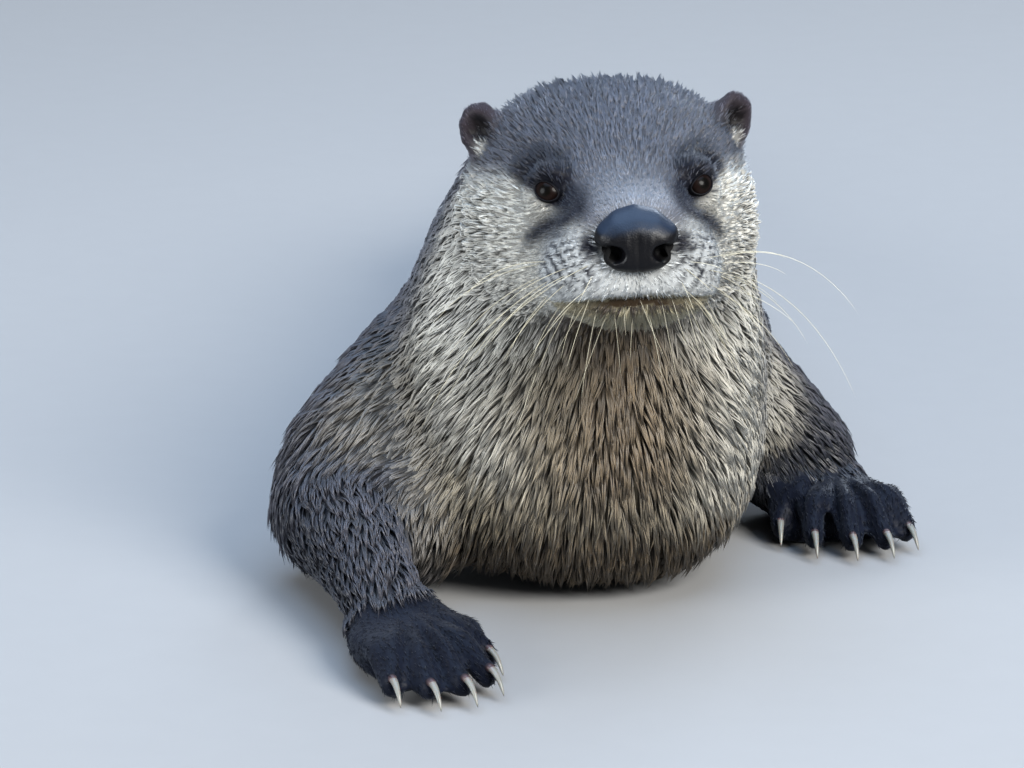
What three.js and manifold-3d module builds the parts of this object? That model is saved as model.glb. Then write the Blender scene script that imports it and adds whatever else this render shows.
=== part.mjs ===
// A life-size North American river otter at rest. It lies on chest and belly with its head raised, the right
// forepaw reaching ahead on the floor and the left one set down beside the chest. Every solid is the outside
// of the coat. Millimetres, +Z up, the floor at z = 0; the otter faces -Y and its left side is +X.
import * as THREE from "three";
import { ConvexGeometry } from "three/addons/geometries/ConvexGeometry.js";
import { ParametricGeometry } from "three/addons/geometries/ParametricGeometry.js";
import { mergeVertices } from "three/addons/utils/BufferGeometryUtils.js";
import Module from "manifold-3d";

const wasm = await Module();
wasm.setup();

// ---- Driving dimensions -------------------------------------------------------------------------------

const GAP = 0.3; // clearance between neighbouring pieces
const RIGHT = -1; // sign of x on the otter's right side
const LEFT = 1;

// The head's own frame: x across, y back from the ear line, z up from the level of the nose.
const HEAD_AT = [18.4, -31, 155.2];
const HEAD_YAW = 5; // degrees towards the left side
const HEAD_PITCH = 5.7; // degrees nose up
const HEAD_ROLL = -1.4; // degrees, left side up

// Sections of the head from the muzzle's front to inside the nape. ahead is the distance in front of the
// ears, half the half width, top and bottom the outline's heights, widest how far up the section is widest.
const HEAD_SECTIONS = [
  { ahead: 94.5, half: 6, top: 3, bottom: -16, widest: 0.4, square: 2 },
  { ahead: 93, half: 14, top: 7.5, bottom: -21, widest: 0.4, square: 2 },
  { ahead: 89, half: 22.5, top: 11, bottom: -26.5, widest: 0.4, square: 2.1 },
  { ahead: 82, half: 30, top: 14.5, bottom: -31.5, widest: 0.38, square: 2.2 },
  { ahead: 72, half: 34.5, top: 18, bottom: -34.5, widest: 0.38, square: 2.3 },
  { ahead: 60, half: 36.5, top: 23.5, bottom: -36, widest: 0.38, square: 2.3 },
  { ahead: 48, half: 39.5, top: 31, bottom: -37, widest: 0.38, square: 2.3 },
  { ahead: 34, half: 46, top: 38.5, bottom: -39, widest: 0.39, square: 2.4 },
  { ahead: 18, half: 52.5, top: 45.5, bottom: -42, widest: 0.4, square: 2.5 },
  { ahead: 0, half: 55.5, top: 49.5, bottom: -45, widest: 0.42, square: 2.6 },
  { ahead: -18, half: 54.5, top: 49.5, bottom: -46, widest: 0.45, square: 2.5 },
  { ahead: -34, half: 49, top: 43, bottom: -44, widest: 0.5, square: 2.3 },
  { ahead: -46, half: 36, top: 30, bottom: -36, widest: 0.5, square: 2 },
  { ahead: -52, half: 16, top: 10, bottom: -18, widest: 0.5, square: 2 },
];

// Rounded forms on both sides of the head: place, reach and how far each stands out (or in, if negative).
const FACE_FORMS = [
  { name: "whisker pad", at: [19, -84, -16], reach: 15, out: 3 },
  { name: "cheek", at: [47, -22, -14], reach: 22, out: 2.5 },
  { name: "brow", at: [25, -49, 26], reach: 11, out: 2.6 },
  { name: "eye hollow", at: [31, -54, 12], reach: 10, out: -3.2 },
  { name: "muzzle side", at: [33, -66, 2], reach: 11, out: -2 },
  { name: "chin", at: [6, -80, -34], reach: 9, out: 1.8 },
];

const EYE_RADIUS = 6.3;
const EYE_AT = [27, -50.8, 13.2];
const EYE_LOOK = [0.42, -0.86, 0.28]; // the way each eye faces, x mirrored on the right
const LID_OPENING = 5.4; // radius of the hole in the coat in front of the eye

// The bare pad at the nose's tip, front to back.
const NOSE_SECTIONS = [
  { ahead: 99.6, half: 6, top: 1.5, bottom: -6, widest: 0.45, square: 2 },
  { ahead: 99, half: 11.5, top: 4.5, bottom: -9.5, widest: 0.44, square: 2.1 },
  { ahead: 96.5, half: 15.5, top: 8, bottom: -11.5, widest: 0.43, square: 2 },
  { ahead: 92, half: 17, top: 11, bottom: -12, widest: 0.43, square: 1.9 },
  { ahead: 87, half: 15, top: 12.5, bottom: -11, widest: 0.44, square: 1.9 },
  { ahead: 84, half: 8, top: 10, bottom: -6, widest: 0.5, square: 2 },
];
const NOSTRIL_AT = [9.2, -98, -4.6];
const NOSTRIL_SIZE = [4, 4.2, 2.8]; // half sizes

const EAR_AT = [49, 1, 32.5];
const EAR_SIZE = [9.6, 5, 12]; // half sizes: across, through, up
const EAR_BOWL = [6.2, 5, 8.2]; // the hollow in the ear's front
const EAR_SPLAY = 12; // degrees that the ear's top leans out
const EAR_TURN = 22; // degrees that its front turns out

// Sections of the body from inside the head to the tail's tip. back and belly are the top and bottom of each
// section as [y, z], half its half width, shift its sideways offset.
const BODY_SECTIONS = [
  { back: [-26, 190], belly: [-52, 132], half: 38, shift: 18, square: 2.1 },
  { back: [6, 197], belly: [-50, 116], half: 54, shift: 16, square: 2.2 },
  { back: [37, 182], belly: [-50, 97], half: 61, shift: 14, square: 2.2 },
  { back: [66, 166], belly: [-58, 70], half: 67, shift: 11, square: 2.2 },
  { back: [96, 155], belly: [-62, 38], half: 71, shift: 10, square: 2.35 },
  { back: [128, 150], belly: [-42, 7], half: 72, shift: 11, square: 2.7 },
  { back: [164, 148], belly: [12, -2.5], half: 71, shift: 13, square: 2.6 },
  { back: [206, 146], belly: [92, -3], half: 68, shift: 16, square: 2.4 },
  { back: [256, 140], belly: [184, -3], half: 65, shift: 17, square: 2.2 },
  { back: [312, 131], belly: [270, -3], half: 61, shift: 16, square: 2.15 },
  { back: [368, 119], belly: [346, -3], half: 56, shift: 14, square: 2.1 },
  { back: [422, 105], belly: [420, -3], half: 50, shift: 13, square: 2.1 },
  { back: [466, 91], belly: [480, -2.5], half: 45, shift: 14, square: 2.1 },
  { back: [502, 77], belly: [518, -2], half: 40, shift: 16, square: 2 },
  { back: [544, 65], belly: [554, -2], half: 34, shift: 19, square: 2 },
  { back: [600, 54], belly: [606, -2], half: 28, shift: 25, square: 2 },
  { back: [660, 44], belly: [663, -2], half: 23, shift: 31, square: 2 },
  { back: [722, 34.5], belly: [724, -2], half: 18.5, shift: 34, square: 2 },
  { back: [780, 26], belly: [781, -1.5], half: 14, shift: 30, square: 2 },
  { back: [832, 18], belly: [832, -1], half: 9.5, shift: 20, square: 2 },
  { back: [864, 11], belly: [864, -0.5], half: 6, shift: 11, square: 2 },
  { back: [880, 5.5], belly: [880, 1], half: 2, shift: 6, square: 2 },
];
// Where the body is parted, counted in sections from the front.
const BODY_PARTS = [
  { name: "neck", from: 0, to: 3.5, rows: 5 },
  { name: "chest", from: 3.5, to: 7, rows: 7 },
  { name: "loin", from: 7, to: 10, rows: 4 },
  { name: "rump", from: 10, to: 13.2, rows: 5 },
  { name: "tail_base", from: 13.2, to: 16, rows: 4 },
  { name: "tail_middle", from: 16, to: 18.5, rows: 4 },
  { name: "tail_tip", from: 18.5, to: 21, rows: 5 },
];
const BODY_SIDES = 20;
const TAIL_SIDES = 10;

// Each stretch of a leg is skin pulled over a row of balls, given as [x, y, z, radius].
const LEGS = {
  right: {
    side: RIGHT,
    arm: [[-42, 54, 77, 35], [-82, 6, 46, 30], [-86, -6, 30, 31], [-58, -28, 27, 26]],
    forearm: [[-86, -12, 29, 29], [-75, -66, 26, 21], [-67, -102, 20, 17]],
    paw: { wrist: [-66, -102, 0], heading: 26, fanning: 4, arch: 21, reach: 1 },
  },
  left: {
    side: LEFT,
    arm: [[50, 62, 74, 34], [94, 80, 27, 29]],
    forearm: [[95, 78, 26, 25], [104, 72, 21, 18]],
    paw: { wrist: [106, 76, 0], heading: 10, fanning: 6, arch: 26, reach: 0.86 },
  },
};
const RUMP_SHIFT = 13; // the hips' offset to the left, where the trunk has curved to
const HIND_LEG = {
  thigh: [[24, 424, 54, 38], [46, 362, 36, 25]],
  shank: [[51, 366, 32, 21], [65, 440, 11.5, 12]],
  paw: { wrist: [65, 434, 0], heading: 0, fanning: 3, arch: 12, reach: 1 },
};
const LIMB_SIDES = 9;
const PALM_SIDES = 8;
const TOE_SIDES = 5;
const CLAW_SIDES = 4;

// A paw in its own frame: forward from the wrist, across towards the thumb, up from the floor. lengths and
// roots run from the thumb to the fifth toe; a root is how far ahead of the wrist its toe begins.
const FOREPAW = {
  palm: [
    { ahead: -8, half: 15, height: 35 },
    { ahead: 6, half: 19, height: 32 },
    { ahead: 18, half: 23, height: 26 },
    { ahead: 29, half: 23.5, height: 19 },
    { ahead: 37, half: 19, height: 11 },
  ],
  toe: { thick: 6.1, tip: 5.5, lengths: [27, 36, 38, 37, 33], roots: [15, 27, 32, 32, 26] },
  spread: 10.8, // between neighbouring toes' roots
  claw: { length: 10.5, thick: 1.5 },
};
const HINDPAW = {
  palm: [
    { ahead: -8, half: 13, height: 26 },
    { ahead: 14, half: 16, height: 24 },
    { ahead: 38, half: 20, height: 19 },
    { ahead: 56, half: 24, height: 14 },
    { ahead: 72, half: 26, height: 8 },
    { ahead: 80, half: 22, height: 4.5 },
  ],
  toe: { thick: 5.6, tip: 5, lengths: [27, 33, 35, 34, 30], roots: [40, 51, 55, 53, 45] },
  spread: 10,
  claw: { length: 8.5, thick: 1.4 },
};
const PALM_SECTION = { widest: 0.35, square: 2.3 };
const TOE_NAMES = ["thumb", "second", "third", "fourth", "fifth"];
const TOE_PLACES = [1.8, 1, 0, -1, -1.85]; // across the paw, counted in spreads from its middle

const MATERIALS = {
  back: new THREE.MeshStandardMaterial({ color: 0x4a3d35, roughness: 0.7, metalness: 0 }),
  chest: new THREE.MeshStandardMaterial({ color: 0x857562, roughness: 0.75, metalness: 0 }),
  face: new THREE.MeshStandardMaterial({ color: 0x77716c, roughness: 0.7, metalness: 0 }),
  paw: new THREE.MeshStandardMaterial({ color: 0x1d1d22, roughness: 0.45, metalness: 0 }),
  nose: new THREE.MeshStandardMaterial({ color: 0x15161a, roughness: 0.3, metalness: 0 }),
  eye: new THREE.MeshStandardMaterial({ color: 0x1a0d08, roughness: 0.08, metalness: 0 }),
  claw: new THREE.MeshStandardMaterial({ color: 0xcfc3b8, roughness: 0.4, metalness: 0 }),
};

// ---- Solids -------------------------------------------------------------------------------------------

const degrees = THREE.MathUtils.degToRad;
const mirrored = ([x, y, z], side) => [x * side, y, z];

// A closed geometry as a solid that can be joined and cut.
function solidOf(geometry) {
  const bare = geometry.clone();
  bare.deleteAttribute("normal");
  bare.deleteAttribute("uv");
  const merged = mergeVertices(bare, 1e-3);
  const corners = merged.index.array;
  const kept = [];
  for (let i = 0; i < corners.length; i += 3) {
    const [a, b, c] = corners.slice(i, i + 3);
    if (a !== b && b !== c && c !== a) kept.push(a, b, c);
  }
  const vertProperties = merged.attributes.position.array;
  const build = (triVerts) => new wasm.Manifold(new wasm.Mesh({ numProp: 3, vertProperties, triVerts }));
  const solid = build(new Uint32Array(kept));
  return solid.volume() < 0 ? build(new Uint32Array(kept.reverse())) : solid;
}

// A solid back as a geometry, with any crumb that a cut left behind dropped.
function geometryOf(solid) {
  const whole = solid.decompose().reduce((a, b) => (a.volume() > b.volume() ? a : b));
  const mesh = whole.getMesh();
  const geometry = new THREE.BufferGeometry();
  geometry.setAttribute("position", new THREE.BufferAttribute(mesh.vertProperties, 3));
  geometry.setIndex(new THREE.BufferAttribute(mesh.triVerts, 1));
  const flat = geometry.toNonIndexed();
  flat.computeVertexNormals();
  return flat;
}

function meshOf(name, solid, material) {
  const mesh = new THREE.Mesh(geometryOf(solid), MATERIALS[material]);
  mesh.name = name;
  return mesh;
}

const placed = (geometry, matrix) => geometry.clone().applyMatrix4(matrix);
const joined = (solids) => solids.reduce((a, b) => a.add(b));
const spline = (points) => new THREE.CatmullRomCurve3(points, false, "catmullrom", 0.5);

// A tube of rings. ringAt(row, angle, target) gives the surface; both ends close on their ring's middle.
function tube(ringAt, rows, sides) {
  const middle = new THREE.Vector3();
  const opposite = new THREE.Vector3();
  const surface = (u, v, target) => {
    const row = Math.round(v * (rows + 2)) - 1;
    const ring = Math.min(Math.max(row, 0), rows);
    ringAt(ring / rows, 2 * Math.PI * u, target);
    if (row !== ring) {
      ringAt(ring / rows, 0, middle);
      ringAt(ring / rows, Math.PI, opposite);
      target.copy(middle.lerp(opposite, 0.5));
    }
  };
  return new ParametricGeometry(surface, sides, rows + 2);
}

// The rounded outline that all body sections share: powers of sine and cosine, rounder as square nears 2.
const rounded = (value, square) => Math.sign(value) * Math.abs(value) ** (2 / square);

// A stretch of a body whose sections stand between a line along the top and one along the bottom.
function bodyTube(sections, from, to, rows, sides, grow = 0, form = () => {}) {
  const top = spline(sections.map((s) => new THREE.Vector3(0, ...(s.back ?? [-s.ahead, s.top]))));
  const low = spline(sections.map((s) => new THREE.Vector3(0, ...(s.belly ?? [-s.ahead, s.bottom]))));
  const girth = spline(sections.map((s) => new THREE.Vector3(s.half, s.widest ?? 0.45, s.square)));
  const shift = spline(sections.map((s) => new THREE.Vector3(s.shift ?? 0, 0, 0)));
  const last = sections.length - 1;
  const ringAt = (share, angle, target) => {
    const at = (from + (to - from) * share) / last;
    const up = top.getPoint(at);
    const down = low.getPoint(at);
    const { x: half, y: widest, z: square } = girth.getPoint(at);
    const rise = up.clone().sub(down);
    const axis = rise.clone().normalize();
    const height = Math.sin(angle) > 0 ? (1 - widest) * rise.length() + grow : widest * rise.length() + grow;
    target.copy(down).addScaledVector(rise, widest);
    target.addScaledVector(axis, height * rounded(Math.sin(angle), square));
    target.x = shift.getPoint(at).x + (half + grow) * rounded(Math.cos(angle), square);
    form(target);
  };
  return tube(ringAt, rows, sides);
}

// A limb through the middles of its sections, with its last round rows shrinking to a blunt tip if round > 0.
function limbTube(sections, rows, sides, grow = 0, round = 0, across = new THREE.Vector3(1, 0, 0)) {
  const path = spline(sections.map((s) => new THREE.Vector3(...s.at)));
  const sizes = spline(sections.map((s) => new THREE.Vector3(...s.size, 0)));
  const capRows = round > 0 ? 1 : 0;
  const ringAt = (share, angle, target) => {
    const row = share * (rows + capRows);
    const t = Math.min(row / rows, 1);
    const turn = (Math.max(row - rows, 0) / Math.max(capRows, 1)) * degrees(62);
    const along = path.getTangent(t);
    const through = new THREE.Vector3().crossVectors(along, across).normalize();
    const side = new THREE.Vector3().crossVectors(through, along).normalize();
    const size = sizes.getPoint(t);
    target.copy(path.getPoint(t)).addScaledVector(along, (round + grow) * Math.sin(turn));
    target.addScaledVector(side, (size.x + grow) * Math.cos(turn) * Math.cos(angle));
    target.addScaledVector(through, (size.y + grow) * Math.cos(turn) * Math.sin(angle));
  };
  return tube(ringAt, rows + capRows, sides);
}

// Everything below the floor, cut away so that the otter rests on small flats.
const belowFloor = solidOf(new THREE.BoxGeometry(600, 2400, 60).translate(0, 300, -30));
const onFloor = (solid) => solid.subtract(belowFloor);

// ---- Head ---------------------------------------------------------------------------------------------

const head = new THREE.Group();
head.position.set(...HEAD_AT);
head.rotation.set(degrees(-HEAD_PITCH), degrees(HEAD_ROLL), degrees(HEAD_YAW), "ZXY");
head.updateMatrix();

// Moves a point of the head's surface out from the head's middle line by every form near it.
function modelled(point) {
  const outward = new THREE.Vector3(point.x, Math.min(point.y + 62, 0) * 0.6, point.z + 6).normalize();
  let out = 0;
  for (const form of FACE_FORMS) {
    for (const side of [RIGHT, LEFT]) {
      const distance = point.distanceTo(new THREE.Vector3(...mirrored(form.at, side)));
      out += form.out * Math.exp(-((distance / form.reach) ** 2));
    }
  }
  point.addScaledVector(outward, out);
}

const headShape = (grow = 0) =>
  bodyTube(HEAD_SECTIONS, 0, HEAD_SECTIONS.length - 1, 16, 20, grow, modelled);
const noseShape = (grow = 0) => bodyTube(NOSE_SECTIONS, 0, NOSE_SECTIONS.length - 1, 5, 12, grow);

// A ball squeezed to half sizes, turned about z and y, and set in place.
function ball(size, at, { turn = 0, lean = 0, sides = 10, rows = 7 } = {}) {
  return new THREE.SphereGeometry(1, sides, rows)
    .rotateX(Math.PI / 2)
    .scale(...size)
    .rotateY(degrees(lean))
    .rotateZ(degrees(turn))
    .translate(...at);
}

const eyeBall = (side, grow = 0) =>
  ball([EYE_RADIUS + grow, EYE_RADIUS + grow, EYE_RADIUS + grow], mirrored(EYE_AT, side), { sides: 10, rows: 7 });

// The opening of the lids: a short cylinder from the eye out through the coat.
function lidOpening(side) {
  const look = new THREE.Vector3(...mirrored(EYE_LOOK, side)).normalize();
  const turn = new THREE.Quaternion().setFromUnitVectors(new THREE.Vector3(0, 1, 0), look);
  return new THREE.CylinderGeometry(LID_OPENING * 1.35, LID_OPENING * 0.8, 12, 10)
    .applyQuaternion(turn)
    .translate(...mirrored(EYE_AT, side).map((value, axis) => value + look.getComponent(axis) * 8));
}

function earShape(side) {
  const tilt = { turn: EAR_TURN * side, lean: EAR_SPLAY * side };
  const [x, y, z] = mirrored(EAR_AT, side);
  const front = new THREE.Vector3(0, -4.6, 1).applyAxisAngle(new THREE.Vector3(0, 0, 1), degrees(tilt.turn));
  const bowl = ball(EAR_BOWL, [x + front.x, y + front.y, z + front.z], tilt);
  return solidOf(ball(EAR_SIZE, [x, y, z], tilt)).subtract(solidOf(bowl));
}

function addHead() {
  const nostrils = [RIGHT, LEFT].map((side) =>
    solidOf(ball(NOSTRIL_SIZE, mirrored(NOSTRIL_AT, side), { turn: 24 * side, lean: 20 * side, sides: 8, rows: 5 })),
  );
  const sockets = [RIGHT, LEFT].flatMap((side) => [solidOf(eyeBall(side, GAP)), solidOf(lidOpening(side))]);
  const skull = solidOf(headShape()).subtract(solidOf(noseShape(GAP))).subtract(joined(sockets));
  head.add(meshOf("head", skull, "face"));
  head.add(meshOf("nose", solidOf(noseShape()).subtract(joined(nostrils)), "nose"));
  const besideEar = solidOf(headShape(GAP));
  for (const [name, side] of [["right", RIGHT], ["left", LEFT]]) {
    head.add(meshOf(`ear_${name}`, earShape(side).subtract(besideEar), "back"));
    head.add(meshOf(`eye_${name}`, solidOf(eyeBall(side)), "eye"));
  }
}

// ---- Body ---------------------------------------------------------------------------------------------

const body = new THREE.Group();
const PART_GAP = GAP / 60; // the same gap counted in sections, which lie about 60 mm apart
const trunkMaterial = (name) => (name === "neck" || name === "chest" ? "chest" : "back");

// One stretch of the body, open by half a gap at its seams, or closed over them when it is a cutter.
function bodyPart(part, grow = 0) {
  const seam = grow > 0 ? -PART_GAP : PART_GAP / 2;
  const from = part.from + (part.from > 0 ? seam : 0);
  const sides = part.name.startsWith("tail") ? TAIL_SIDES : BODY_SIDES;
  return solidOf(bodyTube(BODY_SECTIONS, from, part.to - seam, part.rows, sides, grow));
}

// The whole trunk, head and tail a little large, to cut the legs clear of them.
const headCutter = solidOf(placed(headShape(GAP), head.matrix));
const trunkCutter = joined(BODY_PARTS.map((part) => bodyPart(part, GAP))).add(headCutter);

function addBody() {
  const ears = head.children.filter((mesh) => mesh.name.startsWith("ear"));
  const behindEars = ears.map((mesh) => solidOf(placed(mesh.geometry, head.matrix)));
  for (const part of BODY_PARTS) {
    let solid = bodyPart(part);
    if (part.name === "neck") solid = solid.subtract(headCutter).subtract(joined(behindEars));
    body.add(meshOf(part.name, onFloor(solid), trunkMaterial(part.name)));
  }
}

// ---- Paws ---------------------------------------------------------------------------------------------

// The matrix that sets a paw's own frame (x across towards the thumb, y back, z up) on the floor.
function pawMatrix({ wrist, heading }, side) {
  const turn = new THREE.Matrix4().makeRotationZ(degrees(heading));
  const flip = new THREE.Matrix4().makeScale(-side, 1, 1);
  return new THREE.Matrix4().makeTranslation(...wrist).multiply(turn).multiply(flip);
}

// How high the palm's top is at a place across and ahead, from the sections before and behind it.
function palmTop({ palm }, across, ahead) {
  const next = Math.max(1, palm.findIndex((section) => section.ahead >= ahead));
  const [behind, before] = [palm[next - 1], palm[next]];
  const share = (ahead - behind.ahead) / (before.ahead - behind.ahead);
  const mixed = (key) => THREE.MathUtils.lerp(behind[key], before[key], share);
  const side = Math.min(Math.abs(across) / mixed("half"), 1);
  const { widest, square } = PALM_SECTION;
  return mixed("height") * (widest + (1 - widest) * (1 - side ** square) ** (1 / square));
}

// The middle line of one toe: it grows out of the palm's top, rises over the knuckle and ends on the floor.
function toeLine(paw, { arch, fanning, reach }, index) {
  const { thick, tip, lengths, roots } = paw.toe;
  const place = TOE_PLACES[index];
  const turn = degrees(fanning * place);
  const at = (share, height) => [
    paw.spread * place + Math.sin(turn) * lengths[index] * share * reach,
    -(roots[index] + Math.cos(turn) * lengths[index] * share) * reach,
    height,
  ];
  const root = at(-0.4, 0);
  return [
    { at: at(-0.4, palmTop(paw, root[0], -root[1]) - thick * 1.3), size: [thick, thick] },
    { at: at(0.08, arch * 0.82), size: [thick, thick] },
    { at: at(0.44, arch * 0.74), size: [thick, thick] },
    { at: at(0.76, arch * 0.45), size: [thick * 0.96, thick * 0.94] },
    { at: at(1, tip - 0.7), size: [tip, tip] },
  ];
}

// A claw: it leaves the toe's top behind the tip and curves forward and down over the pad.
function clawTube(paw, place, index, grow = 0) {
  const { length, thick } = paw.claw;
  const tip = toeLine(paw, place, index).at(-1).at;
  const turn = degrees(place.fanning * TOE_PLACES[index]);
  const at = (ahead, height, share) => ({
    at: [tip[0] + Math.sin(turn) * ahead, tip[1] - Math.cos(turn) * ahead, height],
    size: [thick * share, thick * share * 1.25],
  });
  const high = paw.toe.tip * 2;
  const sections = [
    at(-length * 0.3, high * 0.92, 0.8),
    at(length * 0.12, high * 0.98, 1),
    at(length * 0.62, high * 0.72, 0.8),
    at(length * 0.9, high * 0.24, 0.2),
  ];
  return limbTube(sections, 3, CLAW_SIDES, grow);
}

// The palm: low rounded sections flat on the floor.
function palmTube(paw) {
  const sections = paw.palm.map((s) => ({
    ahead: s.ahead,
    half: s.half,
    top: s.height,
    bottom: -1.5,
    ...PALM_SECTION,
  }));
  return bodyTube(sections, 0, sections.length - 1, 4, PALM_SIDES);
}

function addPaw(name, paw, place, side, leg) {
  const matrix = pawMatrix(place, side);
  const solids = (shape) => TOE_NAMES.map((toe, index) => solidOf(placed(shape(index), matrix)));
  const toes = solids((index) => limbTube(toeLine(paw, place, index), 2, TOE_SIDES, 0, paw.toe.tip * 0.7));
  const claws = solids((index) => clawTube(paw, place, index));
  const beds = solids((index) => clawTube(paw, place, index, GAP));
  const whole = joined([solidOf(placed(palmTube(paw), matrix)), ...toes]);
  const flesh = whole.subtract(joined(beds)).subtract(leg).subtract(trunkCutter);
  body.add(meshOf(name, onFloor(flesh), "paw"));
  claws.forEach((claw, index) => body.add(meshOf(`${name}_claw_${TOE_NAMES[index]}`, onFloor(claw), "claw")));
}

// ---- Legs ---------------------------------------------------------------------------------------------

// Skin pulled over each two neighbours of a row of balls, all joined.
function stretched(balls, grow = 0) {
  const corners = balls.map(([x, y, z, radius]) => {
    const around = new THREE.SphereGeometry(radius + grow, LIMB_SIDES, 6).rotateX(Math.PI / 2).translate(x, y, z);
    const { array, count } = around.attributes.position;
    return Array.from({ length: count }, (_, i) => new THREE.Vector3().fromArray(array, 3 * i));
  });
  return joined(corners.slice(1).map((ball, i) => solidOf(new ConvexGeometry([...corners[i], ...ball]))));
}

function addForeleg(name, { side, arm, forearm, paw }) {
  const armCutter = stretched(arm, GAP);
  const upper = stretched(arm).subtract(trunkCutter);
  const lower = stretched(forearm).subtract(trunkCutter).subtract(armCutter);
  body.add(meshOf(`upper_arm_${name}`, onFloor(upper), "back"));
  body.add(meshOf(`forearm_${name}`, onFloor(lower), "back"));
  addPaw(`forepaw_${name}`, FOREPAW, paw, side, armCutter.add(stretched(forearm, GAP)));
}

function addHindLeg(name, side) {
  const balls = (row) => row.map(([x, y, z, radius]) => [x * side + RUMP_SHIFT, y, z, radius]);
  const { thigh, shank, paw } = HIND_LEG;
  const thighCutter = stretched(balls(thigh), GAP);
  const upper = stretched(balls(thigh)).subtract(trunkCutter);
  const lower = stretched(balls(shank)).subtract(trunkCutter).subtract(thighCutter);
  body.add(meshOf(`thigh_${name}`, onFloor(upper), "back"));
  body.add(meshOf(`shank_${name}`, onFloor(lower), "back"));
  const [x, y, z] = mirrored(paw.wrist, side);
  const place = { ...paw, wrist: [x + RUMP_SHIFT - 1.5 * side, y, z], heading: paw.heading * side };
  addPaw(`hindpaw_${name}`, HINDPAW, place, side, thighCutter.add(stretched(balls(shank), GAP)));
}

// ---- The whole otter ----------------------------------------------------------------------------------

addHead();
addBody();
for (const [name, leg] of Object.entries(LEGS)) addForeleg(name, leg);
addHindLeg("right", RIGHT);
addHindLeg("left", LEFT);

// The origin is the middle of the bottom of the otter's box.
const otter = new THREE.Group();
otter.add(head, body);
const box = new THREE.Box3().setFromObject(otter, true);
otter.position.set(-(box.min.x + box.max.x) / 2, -(box.min.y + box.max.y) / 2, 0);

export default otter;
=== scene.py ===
"""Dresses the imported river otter: one skin over its flesh, a wet coat in locks, eyes, lids, nose, claws
and whiskers, and a plain stage to look at it on. Sizes are in metres unless a name or a comment says mm."""

import functools
import math
from collections import namedtuple

import bpy
import numpy as np
from bpy.props import FloatProperty, FloatVectorProperty, IntProperty, PointerProperty
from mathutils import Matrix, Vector
from mathutils.bvhtree import BVHTree
from mathutils.kdtree import KDTree


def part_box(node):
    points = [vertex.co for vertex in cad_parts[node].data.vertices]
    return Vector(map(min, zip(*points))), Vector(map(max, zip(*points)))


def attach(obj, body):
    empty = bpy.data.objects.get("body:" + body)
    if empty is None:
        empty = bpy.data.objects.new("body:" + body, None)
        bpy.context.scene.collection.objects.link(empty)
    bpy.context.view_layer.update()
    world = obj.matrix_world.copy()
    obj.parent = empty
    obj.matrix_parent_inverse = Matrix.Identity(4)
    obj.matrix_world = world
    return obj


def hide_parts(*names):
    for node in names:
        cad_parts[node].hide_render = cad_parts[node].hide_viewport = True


bl_info = {
    "name": "River Otter Dresser",
    "version": (1, 0, 0),
    "blender": (4, 5, 0),
    "location": "3D View > Sidebar > Otter",
    "description": "Skin, wet coat, face, claws and whiskers of a life-size river otter",
    "category": "Object",
}

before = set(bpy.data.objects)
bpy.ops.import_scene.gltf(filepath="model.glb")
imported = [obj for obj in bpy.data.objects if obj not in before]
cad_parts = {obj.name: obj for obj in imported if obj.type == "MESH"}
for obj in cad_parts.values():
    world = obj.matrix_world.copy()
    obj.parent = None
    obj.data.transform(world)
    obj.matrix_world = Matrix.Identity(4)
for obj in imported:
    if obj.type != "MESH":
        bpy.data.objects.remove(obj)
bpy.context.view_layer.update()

# ---- Names and measures -----------------------------------------------------------------------------

MM = 0.001
CM2 = 1e-4
SIDES = {"right": -1, "left": 1}
TOES = ("thumb", "second", "third", "fourth", "fifth")
PAWS = ("forepaw_right", "forepaw_left", "hindpaw_right", "hindpaw_left")

# Which coat each node of flesh wears.
FLESH = {"head": "face", "neck": "neck", "chest": "chest", "loin": "back", "rump": "back"}
FLESH.update({f"tail_{part}": "tail" for part in ("base", "middle", "tip")})
for _side in SIDES:
    FLESH.update({f"ear_{_side}": "ear", f"upper_arm_{_side}": "arm", f"forearm_{_side}": "arm"})
    FLESH.update({f"thigh_{_side}": "leg", f"shank_{_side}": "leg"})
FLESH.update({paw: "paw" for paw in PAWS})

# The solids that shape the skin: the flesh, and the nose and eyes, under which the skin runs on bare.
SOLIDS = (*FLESH, "nose", "eye_right", "eye_left")

# What the coat is like in each region. depth is how far the skin lies inside the coat's outside, below nought
# where smoothing has drawn it in too far; length, spread and thick are a lock's length, its half width at the
# root and one strand's half width, and lift how high its tip stands; all in mm. cover is locks in a square
# centimetre, strands how many make a lock, rings how many cross-sections a strand has before its point, clump
# how many locks draw together as wet fur does, and relax how often the skin is smoothed.
Coat = namedtuple("Coat", "depth length spread thick lift cover strands rings clump relax")
COATS = {
    "face": Coat(2.0, 5.6, 0.7, 0.2, 1.5, 38, 6, 1, 1.5, 6),
    "ear": Coat(-1.4, 4.6, 0.4, 0.12, 0.5, 90, 3, 1, 1, 9),
    "neck": Coat(3.8, 16.0, 0.85, 0.32, 2.1, 24, 3, 2, 3.8, 40),
    "chest": Coat(3.8, 16.0, 0.9, 0.33, 1.9, 21, 3, 2, 3.8, 60),
    "back": Coat(4.2, 15.0, 1.2, 0.48, 2.0, 7.5, 3, 2, 2.4, 60),
    "tail": Coat(2.8, 12.0, 1.2, 0.46, 1.6, 7, 3, 2, 2, 24),
    "arm": Coat(3.0, 14.0, 0.95, 0.36, 1.4, 21, 3, 2, 3.6, 30),
    "leg": Coat(3.2, 12.0, 1.2, 0.46, 1.5, 7.5, 3, 2, 3, 30),
    "paw": Coat(-0.4, 4.0, 0.4, 0.17, 0.75, 34, 2, 1, 1.5, 12),
}
REGIONS = tuple(COATS)

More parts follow.
